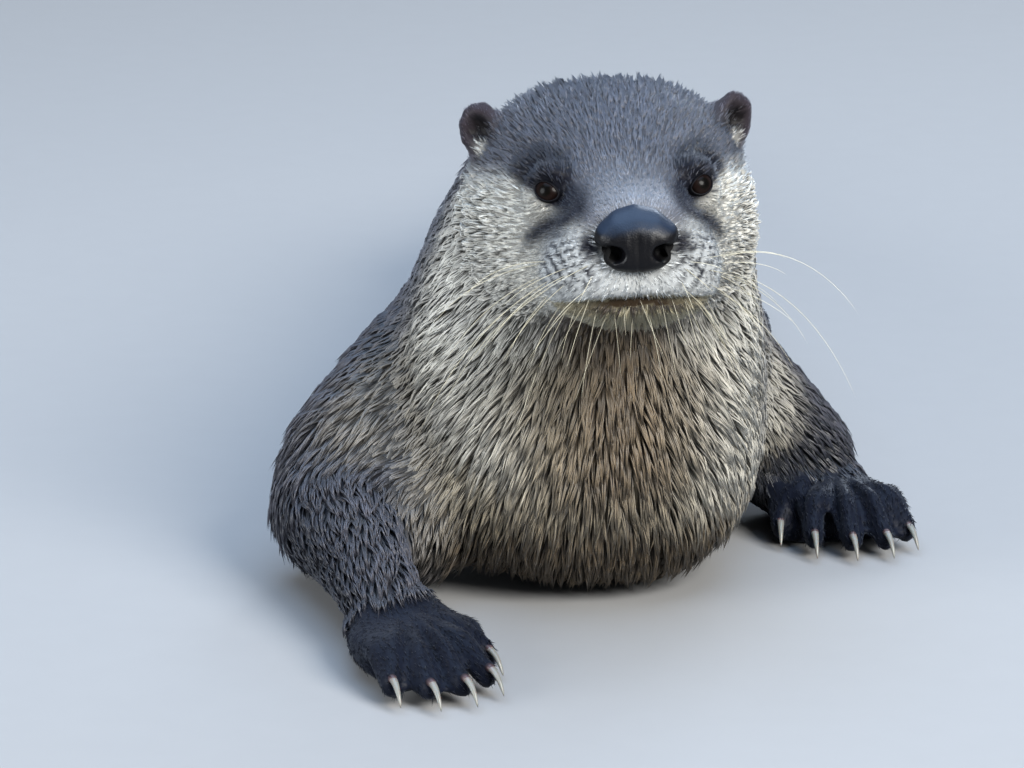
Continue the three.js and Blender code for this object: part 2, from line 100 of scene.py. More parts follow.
# The material slot named for each region.
SLOTS = {region: "back_fur" for region in REGIONS}
SLOTS.update(face="face_fur", ear="face_fur", neck="chest_fur", chest="chest_fur", paw="paw_fur")

# Places and directions on the head in its own frame, in mm: x to its left, y back from the ears' line, z up
# from the nose. What lies on the left holds mirrored for the right.
NOSE_BELOW_EYES = math.radians(18.5)
FACE_CENTRE = np.array([0.0, -55.0, 0.0])
COAT_START = np.array([0.0, -99.0, -2.0])
EYE_PARTING = np.array([30.0, -54.0, 14.0])

# The eye: its middle and the way it looks, its radius, and how far the cornea rises over it, against the
# radius, by a bell curve of the angle from the gaze.
EYE_AT = np.array([27.0, -50.8, 13.2])
EYE_LOOK = np.array([0.42, -0.86, 0.28])
EYE_RADIUS = 6.3
CORNEA_RISE = 0.055
CORNEA_ANGLE = 0.62

# The opening between the lids: half its width, its height above and below its middle, the slope of its inner
# corner, the lids' thickness and the power that makes it an almond. A rim's section goes from under the
# eyeball's surface, over a rounded edge, and out under the skin, by steps of a share of the opening and a
# height over the ball.
LID = {"half_width": 4.7, "above": 3.2, "below": 3.7, "tilt": 0.24, "thick": 0.9, "roundness": 1.8}
LID_SECTION = ((0.9, -1.0), (0.94, -0.1), (0.97, 0.35), (1.0, 0.6), (1.05, 0.72), (1.11, 0.6), (1.2, 0.0))

# The ear: the middle of its hollow and of the pale tuft below it, from the middle of its box; half the
# hollow's width, depth and height, and how deep it is cut; the way it looks, and its dark, partly painted
# shade in the hollow, in linear light.
EAR_HOLLOW = np.array([-0.6, -4.0, -0.3])
EAR_TUFT = np.array([-1, -5.5, -7.8])
EAR_CUP = np.array([5.0, 9.0, 6.4])
EAR_CUP_DEPTH = 3.6
EAR_LOOK = np.array([0.35, -0.93, 0.1])
EAR_DARK = (0.006, 0.004, 0.003)

# The mouth: half its width, the height of its middle and how far its corners drop.
MOUTH_HALF = 28
MOUTH_HEIGHT = -22.5
MOUTH_DROP = 2.8

# How finely skin and nose pad are sampled, and how far every piece stays above the floor.
SKIN_VOXEL = 3.05 * MM
NOSE_VOXEL = 0.55 * MM
FLOOR_GAP = 0.4 * MM

# In mm: how deep the skin runs under the nose pad, the nostrils are sunk and the toes are parted.
NOSE_TUCK = 9.0
NOSTRIL_DEPTH = 4.6
TOE_GROOVE = 2.6

# Where the three corners of a strand's rings stand, how far its root lies under the skin, how wide its own
# patch of UV is, and how many triangles one piece of coat may hold.
RING = np.radians([90, 210, 330])
ROOT_DEPTH = 0.3 * MM
UV_PATCH = 0.003
MOST_TRIANGLES = 190000

# The level of gloss of each surface when all wet, and how deep its fine relief is.
FUR_GLOSS, SHORT_FUR_GLOSS, SKIN_GLOSS = 0.65, 0.2, 0.08
FINE_GRAIN = 0.1 * MM
LEATHER_GRAIN = 0.12 * MM
SKIN_GRAIN = 0.4 * MM

# A claw's width at the root against its solid's, and the power by which it tapers; and a cuticle's width
# against the solid's, at shares of the claw's length from behind its root.
CLAW_WIDTH = 1.38
CLAW_TAPER = 0.52
CUTICLE_AT = (-0.5, -0.4, -0.1, 0.1, 0.26, 0.34)
CUTICLE_SWELL = (0, 1.5, 1.6, 1.45, 1.28, 0)

# How far down the whiskers leave on each side, against how far out, and how much they sag.
WHISKER_DROOP = {"right": 0.3, "left": 0.05}
WHISKER_SAG = 8.0

# The camera: what it looks at, seen from the middle of the nose pad, how far away it stands and how high, and
# its lens and sensor in mm.
CAMERA_TARGET_FROM_NOSE = np.array([-45.3, 122.0, -87.0]) * MM
CAMERA_DISTANCE = 2.0
CAMERA_ELEVATION = math.radians(15)
CAMERA_LENS = 180
SENSOR = 36

# Each light's name, place, size, power and tint, and the sky's power and tint.
LIGHTS = [
    ("overhead", (0.0, -0.15, 1.75), 2.3, 54.0, (0.5, 0.7, 1.0)),
    ("key", (2.15, -3.0, 2.4), 2.2, 362.0, (1.0, 0.98, 0.94)),
    ("fill", (-3.4, -2.0, 1.25), 2.6, 178.0, (0.94, 0.97, 1.0)),
    ("back", (1.2, 3.4, 1.9), 1.6, 60.0, (0.75, 0.86, 1.0)),
]
SKY_POWER = 0.29
SKY_TINT = (0.82, 0.89, 1.0)
FLOOR_HALF = 9.0


def linear(red, green, blue):
    """A colour given as 0 to 255 on a screen, in linear light."""
    screen = np.array([red, green, blue]) / 255
    return tuple(np.where(screen <= 0.04045, screen / 12.92, ((screen + 0.055) / 1.055) ** 2.4).tolist())


def centre(node):
    """The middle of a node's box."""
    low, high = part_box(node)
    return np.array((low + high) / 2)


def unit(vectors):
    """Vectors brought to length one, along the last axis."""
    return vectors / np.maximum(np.linalg.norm(vectors, axis=-1, keepdims=True), 1e-12)


def head_frame():
    """Origin and axes of the head: x runs between the eyes, and y is turned until the nose lies below the
    eyes by its known angle."""
    right, left = (centre(f"eye_{side}") for side in SIDES)
    across = unit(left - right)
    to_nose = centre("nose") - (left + right) / 2
    to_nose = unit(to_nose - across * (to_nose @ across))
    up = np.cross(across, -to_nose)
    ahead = to_nose * math.cos(NOSE_BELOW_EYES) + up * math.sin(NOSE_BELOW_EYES)
    axes = np.stack([across, -ahead, np.cross(across, -ahead)], axis=1)
    origin = (left + right) / 2 - axes @ (EYE_AT * (0, 1, 1)) * MM
    return origin, axes


HEAD_ORIGIN, HEAD_AXES = head_frame()


def to_head(points):
    """Places in the head's frame, in mm."""
    return (points - HEAD_ORIGIN) @ HEAD_AXES / MM


def from_head(local):
    """Places in the row's frame from places in the head's frame."""
    return HEAD_ORIGIN + np.asarray(local) @ HEAD_AXES.T * MM


def mirror(point, sign):
    """A place on the head's left moved to the side that sign names."""
    return np.array(point, float) * (sign, 1, 1)


def bell(distance, width):
    """A smooth bump: one at no distance, falling off as a bell curve."""
    return np.exp(-((distance / width) ** 2))


def step(value, low, high):
    """Nought below low, one above high, and smooth between."""
    t = np.clip((value - low) / (high - low), 0, 1)
    return t * t * (3 - 2 * t)


def facing(normals, direction):
    """How far normals turn towards a direction, from -1 to 1."""
    return normals @ unit(np.array(direction, float))


def bearing(away, ahead, beside):
    """The angle of each way from one direction, ahead, towards another, beside."""
    return np.arctan2(away @ beside, away @ ahead)


def above_floor(points):
    """Points with those under the floor's gap raised to it."""
    return np.maximum(points, (-np.inf, -np.inf, FLOOR_GAP))


# ---- Meshes from arrays -----------------------------------------------------------------------------


def put_mesh(name, points, faces, attributes=None, uv=None, smooth=True):
    """An object from arrays. faces holds rows of three or four corners. attributes maps a name to one value
    or one colour for each vertex, and uv is one pair for each corner."""
    mesh = bpy.data.meshes.new(name)
    mesh.vertices.add(len(points))
    mesh.vertices.foreach_set("co", np.ascontiguousarray(points, np.float32).ravel())
    mesh.loops.add(faces.size)
    mesh.loops.foreach_set("vertex_index", np.ascontiguousarray(faces, np.int32).ravel())
    mesh.polygons.add(len(faces))
    mesh.polygons.foreach_set("loop_start", np.arange(0, faces.size, faces.shape[1], dtype=np.int32))
    mesh.polygons.foreach_set("use_smooth", np.full(len(faces), smooth))
    mesh.update(calc_edges=True)
    for key, values in (attributes or {}).items():
        values = np.asarray(values, np.float32)
        if values.ndim == 1:
            mesh.attributes.new(key, "FLOAT", "POINT").data.foreach_set("value", values)
        else:
            rgba = np.concatenate([values, np.ones((len(values), 1), np.float32)], axis=1)
            mesh.attributes.new(key, "FLOAT_COLOR", "POINT").data.foreach_set("color", rgba.ravel())
    if uv is not None:
        mesh.uv_layers.new(name="OFBake").data.foreach_set("uv", np.asarray(uv, np.float32).ravel())
    made = bpy.data.objects.new(name, mesh)
    bpy.context.collection.objects.link(made)
    return made


def weld(piece):
    """Closes the poles of a grid by joining points that lie on one another."""
    modifier = piece.modifiers.new("weld", "WELD")
    modifier.merge_threshold = 1e-6


def finish_piece(piece, material, slot, *nodes):
    """Gives a piece its material, has it ride on the body and stand for its nodes. Its slot is not used."""
    piece.data.materials.append(material)
    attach(piece, "root")
    if nodes:
        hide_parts(*nodes)


def grid_faces(rows, columns):
    """Quads between the rows of a grid of points whose rows close round on themselves."""
    r = np.arange(rows - 1)[:, None] * columns
    c = np.arange(columns)[None, :]
    right = (c + 1) % columns
    return np.stack([r + c, r + right, r + columns + right, r + columns + c], axis=-1).reshape(-1, 4)


def tubes(paths, radii, sides, flat):
    """Round tubes carried along paths, which are (tubes, steps, 3), with radii (tubes, steps). Each ring
    stands square to its path, flat times as wide along its second axis. Ends close where the radius is
    nought. Gives points, quads and each point's share of the way along."""
    count, steps, _ = paths.shape
    along = unit(np.gradient(paths, axis=1))
    helper = np.where(np.abs(along[..., 2:3]) > 0.9, (1.0, 0.0, 0.0), (0.0, 0.0, 1.0))
    across = unit(np.cross(helper, along))
    other = np.cross(along, across)
    angle = np.linspace(0, 2 * np.pi, sides, endpoint=False)
    ring = across[:, :, None] * np.cos(angle)[:, None] + flat * other[:, :, None] * np.sin(angle)[:, None]
    points = paths[:, :, None] + ring * radii[:, :, None, None]
    quads = grid_faces(steps, sides)[None] + (np.arange(count) * steps * sides)[:, None, None]
    share = np.broadcast_to(np.linspace(0, 1, steps)[None, :, None], (count, steps, sides))
    return points.reshape(-1, 3), quads.reshape(-1, 4), share.ravel()


def build_tubes(name, paths, radii, sides, flat, material, slot, *nodes):
    """One piece of tubes that keep clear of the floor, with each point's share of the way along kept."""
    points, faces, share = tubes(paths, radii, sides, flat)
    piece = put_mesh(name, above_floor(points), faces, {"along": share})
    weld(piece)
    finish_piece(piece, material, slot, *nodes)


# ---- Skin -------------------------------------------------------------------------------------------


class Net:
    """A surface as arrays: points, quads and the edges between points."""

    def __init__(self, points, quads):
        self.points = points
        self.quads = quads
        pairs = np.concatenate([quads[:, [i, (i + 1) % 4]] for i in range(4)])
        pairs = np.unique(np.sort(pairs, axis=1), axis=0)
        self.ends = np.concatenate([pairs, pairs[:, ::-1]])
        self.degree = np.maximum(np.bincount(self.ends[:, 0], minlength=len(points)), 1)

    def around(self, values):
        """The mean of each point's neighbours, for an array of values with one row to a point."""
        start, end = self.ends.T
        total = [np.bincount(start, values[end, k], len(self.points)) for k in range(values.shape[1])]
        return np.stack(total, axis=1) / self.degree[:, None]

    def spread(self, values, times):
        """Values smoothed over the surface by moving halfway to the neighbours' mean again and again."""
        for _ in range(times):
            values = 0.5 * (values + self.around(values))
        return values

    def relax(self, times):
        """Smooths each point as many times as times says, so that facets and joins of limbs melt away."""
        for turn in range(int(np.ceil(times.max()))):
            share = 0.5 * np.clip(times - turn, 0, 1)[:, None]
            self.points = self.points + share * (self.around(self.points) - self.points)

    def normals(self):
        """The outward normal at each point: the sum of the crossed diagonals of the quads around it."""
        a, b, c, d = (self.points[self.quads[:, i]] for i in range(4))
        crossed = np.repeat(np.cross(c - a, d - b), 4, axis=0)
        corner = self.quads.ravel()
        total = [np.bincount(corner, crossed[:, k], len(self.points)) for k in range(3)]
        return unit(np.stack(total, axis=1))


def node_triangles(node):
    """A CAD node's triangles, as (triangles, corners, 3)."""
    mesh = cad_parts[node].data
    mesh.calc_loop_triangles()
    points = np.empty(len(mesh.vertices) * 3, np.float32)
    mesh.vertices.foreach_get("co", points)
    triangles = np.empty(len(mesh.loop_triangles) * 3, np.int32)
    mesh.loop_triangles.foreach_get("vertices", triangles)
    return points.reshape(-1, 3)[triangles.reshape(-1, 3)].astype(float)


def quartered(corners):
    """Each triangle split into four at the middles of its sides."""
    a, b, c = corners[:, 0], corners[:, 1], corners[:, 2]
    ab, bc, ca = (a + b) / 2, (b + c) / 2, (c + a) / 2
    parts = [(a, ab, ca), (ab, b, bc), (ca, bc, c), (ab, bc, ca)]
    return np.concatenate([np.stack(part, axis=1) for part in parts])


def voxel_net(corners, voxel):
    """One closed net round all that the triangles enclose, from Blender's voxel remesh. Only the biggest
    shell is kept, so that no bubble is left between the solids."""
    faces = np.arange(len(corners) * 3).reshape(-1, 3)
    rough = put_mesh("rough", corners.reshape(-1, 3), faces, smooth=False)
    remesh = rough.modifiers.new("voxels", "REMESH")
    remesh.mode = "VOXEL"
    remesh.voxel_size = voxel
    graph = bpy.context.evaluated_depsgraph_get()
    fine = bpy.data.meshes.new_from_object(rough.evaluated_get(graph))
    points = np.empty(len(fine.vertices) * 3)
    fine.vertices.foreach_get("co", points)
    quads = np.empty(len(fine.loops), np.int64)
    fine.loops.foreach_get("vertex_index", quads)
    bpy.data.objects.remove(rough)
    bpy.data.meshes.remove(fine)
    points, quads = points.reshape(-1, 3), quads.reshape(-1, 4)
    label = np.arange(len(points))
    while True:
        before = label.copy()
        np.minimum.at(label, quads.ravel(), np.repeat(label[quads].min(axis=1), 4))
        label = label[label]
        if np.array_equal(before, label):
            break
    kept = label == np.bincount(label).argmax()
    place = np.cumsum(kept) - 1
    return Net(points[kept], place[quads[kept[quads[:, 0]]]])


def lenses():
    """The places that are sampled more closely than the rest, each with its reach: the face, the ears twice
    over, and the paws."""
    ears = [(centre(f"ear_{side}"), 16 * MM) for side in SIDES] * 2
    return [(from_head(FACE_CENTRE), 70 * MM)] + ears + [(centre(paw), 42 * MM) for paw in PAWS]


def magnified(points, back=False):
    """Doubles sizes at each lens, so that one voxel size samples it twice as closely: a distance of u times
    its reach from its middle becomes u + u / (1 + u^2)^2 times. The lenses act one after another, and back
    undoes them in the other order."""
    plain = np.linspace(0, 2, 4000)
    for middle, reach in reversed(lenses()) if back else lenses():
        grown = plain + plain / (1 + (plain / reach) ** 2) ** 2
        table = (grown, plain) if back else (plain, grown)
        away = points - middle
        distance = np.linalg.norm(away, axis=-1, keepdims=True)
        points = middle + away * np.interp(distance, *table) / np.maximum(distance, 1e-9)
    return points


def nearest_solid(points, solids):
    """For each point, a row that is one in the column of the nearest solid."""
    corners = np.concatenate(solids)
    owner = np.repeat(np.arange(len(solids)), [len(solid) for solid in solids])
    faces = np.arange(len(corners) * 3).reshape(-1, 3).tolist()
    tree = BVHTree.FromPolygons(corners.reshape(-1, 3).tolist(), faces)
    nearest = np.array([tree.find_nearest(point)[2] for point in points.tolist()])
    return np.eye(len(solids))[owner[nearest]]


def region_share(share):
    """Each point's share of every region, from its share of every solid."""
    member = np.array([[FLESH.get(solid, "face") == region for region in REGIONS] for solid in SOLIDS], float)
    return share @ member


def of_solid(share, solid):
    """Each point's share of one solid."""
    return share[:, SOLIDS.index(solid)]


def of_region(share, region):
    """Each point's share of one region."""
    return region_share(share)[:, REGIONS.index(region)]


def by_region(share, field):
    """A coat measure at each point, blended from its solids' regions."""
    return region_share(share) @ np.array([getattr(COATS[region], field) for region in REGIONS], float)


def tail_taper(points):
    """How much of its full depth the coat has: less towards the tail's thin tip."""
    low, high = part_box("tail_tip")
    return 1 - 0.8 * step(points[:, 1], low.y - 0.05, high.y - 0.01)


def eye_axes(sign):
    """One eye's axes in the head's frame: along its gaze, across towards the nose, and up."""
    gaze = unit(mirror(EYE_LOOK, sign))
    inward = unit(np.cross(gaze, (0, 0, 1.0))) * sign
    return gaze, inward, np.cross(inward, gaze) * sign


def eye_measures(points, sign):
    """Where points lie about one eye, in mm from its centre, along each of its axes."""
    away = to_head(points) - mirror(EYE_AT, sign)
    return [away @ axis for axis in eye_axes(sign)]


def lid_opening(across, up):
    """How far out a place is from the middle of the opening between the lids: one on its edge. The opening is
    an almond, |across|^r + |up|^r = 1, whose inner corner dips towards the nose."""
    risen = up + LID["tilt"] * across
    tall = np.where(risen > 0, LID["above"], LID["below"])
    power = LID["roundness"]
    return ((np.abs(across) / LID["half_width"]) ** power + (np.abs(risen) / tall) ** power) ** (1 / power)


def ear_measure(points, sign):
    """How far out a place is from the middle of one ear's hollow: one on the edge of the cup."""
    side = "left" if sign > 0 else "right"
    away = to_head(points) - to_head(centre(f"ear_{side}")) - mirror(EAR_HOLLOW, sign)
    return np.linalg.norm(away / EAR_CUP, axis=1)


def mouth_height(x):
    """How high the line of the lips runs across the head, in mm: a parabola that drops to its corners."""
    return MOUTH_HEIGHT - MOUTH_DROP * (x / MOUTH_HALF) ** 2


def sculpt_eyes(net):
    """Moves the flesh about each eye along its gaze: rims that hug the ball round the almond opening, a dome
    of flesh outside them, the brow's hood above and a small bag below. All in mm: hood and bag are each a
    height times two bells about their middles."""
    for sign in SIDES.values():
        depth, across, up = eye_measures(net.points, sign)
        beside = np.hypot(across, up)
        ball = np.sqrt(np.maximum(EYE_RADIUS**2 - np.minimum(beside, EYE_RADIUS) ** 2, 0))
        opening = lid_opening(across, up)
        rim = ball + LID["thick"] * step(opening, 1.0, 1.25) - 1.8 * (1 - step(opening, 0.9, 1.05))
        dome = np.sqrt(np.maximum(11.5**2 - beside**2, 0)) - 4.8
        hood = 3.6 * bell(across - 0.5, 7.0) * bell(up - 7.2, 3.2)
        bag = 0.8 * bell(across + 1.0, 6.0) * bell(up + 7.0, 2.0)
        around = np.maximum(depth, dome) + hood + bag
        lid = rim + (around - rim) * step(opening, 1.2, 1.9)
        hold = (1 - step(beside, 10.5, 13.0)) * (depth > -9)
        net.points = net.points + from_head(((lid - depth) * hold)[:, None] * eye_axes(sign)[0]) - HEAD_ORIGIN


def sculpt_face(net):
    """Moves the flesh of the head along its normals by smooth bumps laid out in the head's frame: a ridge
    over each eye and folds under it, the ears' cups, the lips and the groove under the nose. All in mm: each
    is a height times bells about its middle and steps where it begins and ends."""
    net.relax(2.0 * (np.linalg.norm(net.points - from_head(FACE_CENTRE), axis=1) < 60 * MM))
    normals = net.normals()
    x, y, z = to_head(net.points).T
    front = step(-y, 20, 34)
    out = np.zeros(len(x))
    for sign in SIDES.values():
        over = sign * x - 29
        ring = np.hypot(over, z - 13.5)
        own_side = front * (sign * x > 0)
        above = step(z + 0.35 * over, 13, 19) * own_side
        out += 1.4 * bell(ring - 10.5, 2.8) * above
        below = step(12.5 - z, 0, 4) * own_side
        out -= 0.7 * (bell(ring - 7.2, 0.8) + bell(ring - 10.4, 0.9)) * below
        out += 0.4 * bell(ring - 8.8, 0.9) * below
        inside = step(facing(normals, HEAD_AXES @ mirror(EAR_LOOK, sign)), 0, 0.6)
        out -= EAR_CUP_DEPTH * (1 - step(ear_measure(net.points, sign), 0.35, 1.0)) * inside
    lips = mouth_height(x)
    at_lips = (1 - step(np.abs(x), MOUTH_HALF - 4, MOUTH_HALF + 3)) * step(-y, 58, 66)
    out -= 2.4 * bell(z - lips, 1.3) * at_lips
    out += 1.2 * bell(z - lips - 5, 4.0) * at_lips * bell(np.abs(x) - 15, 11)
    out += 0.5 * bell(z - lips + 3.0, 2.0) * at_lips
    out -= 1.0 * bell(x, 1.3) * step(-y, 84, 90) * step(z, MOUTH_HEIGHT - 1, MOUTH_HEIGHT + 2)
    net.points = net.points + normals * (out * MM)[:, None]


def sculpt_paws(net, share):
    """Cuts a groove between each two toes on top of every paw and raises the toes beside them: bumps in the
    bearing about the wrist, growing towards the toes' tips. Round each claw's root the toe swells."""
    normals = net.normals()
    out = np.zeros(len(net.points))
    for paw in PAWS:
        roots = np.array([claw_line(f"{paw}_claw_{toe}")[0][0] for toe in TOES])
        ahead = unit((roots.mean(axis=0) - centre(paw)) * (1, 1, 0))
        beside = np.array((-ahead[1], ahead[0], 0))
        wrist = centre(paw) - ahead * 18 * MM
        toes = np.sort(bearing(roots - wrist, ahead, beside))
        gaps = (toes[1:] + toes[:-1]) / 2
        width = np.diff(toes).mean() * 0.2
        reach = np.linalg.norm((roots - wrist)[:, :2], axis=1).mean()
        far = np.linalg.norm((net.points - wrist)[:, :2], axis=1) / reach
        where = bearing(net.points - wrist, ahead, beside)
        top = of_solid(share, paw) * step(normals[:, 2], 0.0, 0.45) * step(far, 0.25, 0.7)
        out -= TOE_GROOVE * top * sum(bell(where - gap, width) for gap in gaps)
        out += 1.0 * top * sum(bell(where - toe, width) for toe in toes)
        for root in roots:
            out += 1.1 * bell(np.linalg.norm(net.points - root, axis=1), 3.2 * MM)
    net.points = net.points + normals * (out * MM)[:, None]


@functools.cache
def skin():
    """The bare skin and each point's share of every solid: the solids joined by voxels, smoothed, drawn in by
    the coat's depth, which shrinks towards the muzzle, and given its folds."""
    solids = [node_triangles(solid) for solid in SOLIDS]
    corners = magnified(quartered(quartered(np.concatenate(solids))))
    net = voxel_net(corners, SKIN_VOXEL)
    net.points = magnified(net.points, back=True)
    share = net.spread(nearest_solid(net.points, solids), 6)
    net.relax(by_region(share, "relax"))
    depth = by_region(share, "depth") * tail_taper(net.points)
    depth *= 1 - 0.7 * step(-to_head(net.points)[:, 1], 60, 84) * of_solid(share, "head")
    under_nose = of_solid(share, "nose")
    depth = depth * (1 - under_nose) + NOSE_TUCK * under_nose
    net.points = net.points - net.normals() * (depth * MM)[:, None]
    net.relax(np.minimum(by_region(share, "relax"), 3))
    sculpt_eyes(net)
    sculpt_face(net)
    sculpt_paws(net, share)
    net.points = above_floor(net.points)
    return net, share


# ---- Markings ---------------------------------------------------------------------------------------


def trunk_layers(points, normals, region, paints):
    """The paints of trunk and limbs with their masks, in the order in which they are laid: dark limbs, then
    between two edges of the front a taupe chest with a brown underside and throat, partly painted shade low
    down, pale at the neck's sides, painted shade under one shoulder and painted light over the other, and
    dark below beyond the edges, partly painted shade between chest and arms. Places are in mm from the
    head's middle, across and back, and up from the floor."""
    trunk = region["neck"] + region["chest"] + region["back"] + region["arm"]
    yield paints.limb, region["arm"] + region["leg"] + 0.6 * region["tail"]
    across, behind = (points - HEAD_ORIGIN).T[:2] / MM
    height = points[:, 2] / MM
    front = step(facing(normals, (0, -0.8, -0.4)), -0.25, 0.45) * step(160 - behind, 0, 80)
    right_edge = -104 + 0.95 * np.maximum(66 - height, 0) + 0.65 * np.maximum(height - 66, 0)
    left_edge = 75 - 1.3 * np.maximum(45 - height, 0)
    between = step(across - right_edge, -20, 20) * (1 - step(across - left_edge, -16, 6))
    chest = trunk * front * between
    yield paints.chest, chest
    # Darker brown low down and where the chest faces down: partly the belly's own colour, partly painted
    # shade under the chest.
    low = 0.75 * step(facing(normals, (0, -0.2, -1)), 0.1, 0.9) + step(56 - height, 0, 38)
    yield paints.belly_and_shade, chest * low
    # A brown wash on the middle of the chest, growing downwards: partly painted shade below the top-lit upper
    # chest.
    yield paints.throat, 0.45 * chest * bell(across + 8, 46) * step(112 - height, 0, 50)
    beside = step(np.abs(to_head(points)[:, 0]), 20, 50)
    yield paints.cheek, 0.65 * region["neck"] * front * between * beside
    # Painted shade: the chest darkens under one shoulder, on the side away from the light.
    yield paints.back, 0.6 * chest * step(-across, 46, 84) * step(100 - height, 0, 30)
    # Painted light: the chest is paler on the other side, where the light falls.
    yield paints.cheek, 0.6 * chest * step(across, 16, 42) * step(height, 30, 60)
    # Near black low down beyond the chest's edges: partly the dark limbs' colour, partly painted shade
    # between chest and arms.
    yield paints.paw, 0.85 * trunk * front * (1 - between) * step(62 - height, 0, 34)


def head_layers(points, region, paints):
    """The paints of the head with their masks, in the order in which they are laid: brown under the chin,
    partly painted shade below the jaw, pale cheeks below a sloping line, a grey bridge, partly a painted
    sheen on its upper face, and muzzle, dark in a band from eye to nose, over and round each eye, in the rows
    of the whisker pads and beside the nose, partly painted shade by the nose's wings, then chin, lips with a
    painted shadow along the mouth's line, and throat. Places are in the head's frame, in mm."""
    x, y, z = to_head(points).T
    side = np.abs(x)
    face, head = region["face"], region["face"] + region["neck"]
    # Brown under the chin: partly the throat's colour, partly painted shade below the jaw.
    yield paints.throat, head * bell(x, 26) * step(-z, 27, 36) * step(-y, -60, 0)
    line = 18 - 0.16 * (side - 40) - 0.9 * np.maximum(34 - side, 0)
    cheek = step(line - z, -5, 6) * step(side, 14, 26) * (1 - step(y, 10, 45)) * (1 - step(-z, 34, 60))
    yield paints.cheek, head * cheek
    # A grey bridge: its blue-grey is partly a painted sheen of the sky on the upper face of the muzzle.
    yield paints.bridge, face * bell(x, 17) * step(-y, 44, 80) * step(z, 2, 10)
    yield paints.muzzle, face * step(-y, 56, 74) * step(7 - z, 0, 9)
    band = bell(z - (10.5 - 0.82 * (side - 19)), 4.6)
    yield paints.mask, face * band * step(side, 12, 18) * (1 - step(side, 36, 43)) * step(-y, 42, 54)
    over_eye = np.hypot((side - 30) / 13, (z - 21.5) / 8.5)
    yield paints.mask, 1.3 * face * (1 - step(over_eye, 0.6, 1.15)) * step(-y, 25, 40)
    round_eye = np.hypot((side - 25) / 8, (z - 14) / 6)
    yield paints.mask, 1.3 * face * (1 - step(round_eye, 0.6, 1.2)) * step(-y, 35, 45)
    yield paints.mask, 0.95 * face * whisker_rows(points)
    # Dark beside the nose's wings: partly short dark hair, partly painted shade in the groove there.
    beside_nose = np.hypot((side - 16.5) / 4.8, (z + 2.5) / 5.8)
    yield paints.mask, face * (1 - step(beside_nose, 0.4, 1.2)) * step(-y, 68, 78)
    below = mouth_height(x) - z
    at_mouth = face * step(-y, 50, 64) * (1 - step(side, 28, 36))
    yield paints.chin, at_mouth * step(below, -2.2, -1.2)
    # Dark brown along the mouth's line: partly the lips' own colour, partly a painted shadow in the mouth's
    # groove.
    yield paints.lips, 1.3 * at_mouth * bell(x, 22) * step(below, -1.6, -0.6) * (1 - step(below, 2.2, 3.6))
    # Brown again under the chin, partly painted shade below the jaw.
    yield paints.throat, face * bell(x, 30) * step(-z, 32, 35) * step(-y, -10, 30)


def small_layers(points, share, region, paints):
    """The paints of paws, ears and the skin under the nose pad with their masks, in the order in which they
    are laid: each ear is dark in its cup, partly painted shade in the hollow, with a pale tuft at its lower
    front."""
    yield paints.paw, 1.3 * region["paw"]
    yield paints.ear, 1.4 * region["ear"]
    for part, sign in SIDES.items():
        # Dark in each ear's cup: partly painted shade in the hollow.
        yield EAR_DARK, 0.85 * (1 - step(ear_measure(points, sign), 0.7, 1.15))
        low_front = from_head(to_head(centre(f"ear_{part}")) + mirror(EAR_TUFT, sign))
        away = np.linalg.norm(points - low_front, axis=1) / MM
        yield paints.cheek, 0.8 * (1 - step(away, 1.5, 4.5))
    yield (0.0, 0.0, 0.0), step(of_solid(share, "nose"), 0.6, 0.9)


def markings(points, normals, share, paints):
    """The coat's colour at each point: the crown's and back's own, under layers of paint, each laid on as far
    as its mask, held between nought and one, lets it. Some layers are painted shade, light and sheen, and the
    crown's and back's blue-grey is partly a painted sheen of the sky. A mask is a strength times shares of
    regions, bells about the middle of its place and steps where it begins and ends, in mm."""
    region = dict(zip(REGIONS, region_share(share).T))
    colour = np.tile(np.array(paints.back), (len(points), 1))
    layers = [
        *trunk_layers(points, normals, region, paints),
        *head_layers(points, region, paints),
        *small_layers(points, share, region, paints),
    ]
    for paint, mask in layers:
        colour += (np.array(paint) - colour) * np.clip(mask, 0, 1)[:, None]
    return colour


# ---- Lie of the coat --------------------------------------------------------------------------------


def limb_ways():
    """For each solid of a limb or ear, the way its coat lies: down the arm by the middles of its solids, to
    the claws on a paw, down and back on the hind leg, and up and out on an ear."""
    ways = {}
    for side in SIDES:
        fore, hind = f"forepaw_{side}", f"hindpaw_{side}"
        ways[f"upper_arm_{side}"] = centre(f"forearm_{side}") - centre(f"upper_arm_{side}")
        ways[f"forearm_{side}"] = centre(fore) - centre(f"upper_arm_{side}")
        ways[f"thigh_{side}"] = np.array([0.0, 0.3, -1.0])
        ways[f"shank_{side}"] = np.array([0.0, 1.0, -0.4])
        ways[f"ear_{side}"] = HEAD_AXES @ mirror((0.5, 0.2, 1.0), SIDES[side])
        for paw in (fore, hind):
            ways[paw] = np.mean([centre(f"{paw}_claw_{toe}") for toe in TOES], axis=0) - centre(paw)
    return ways


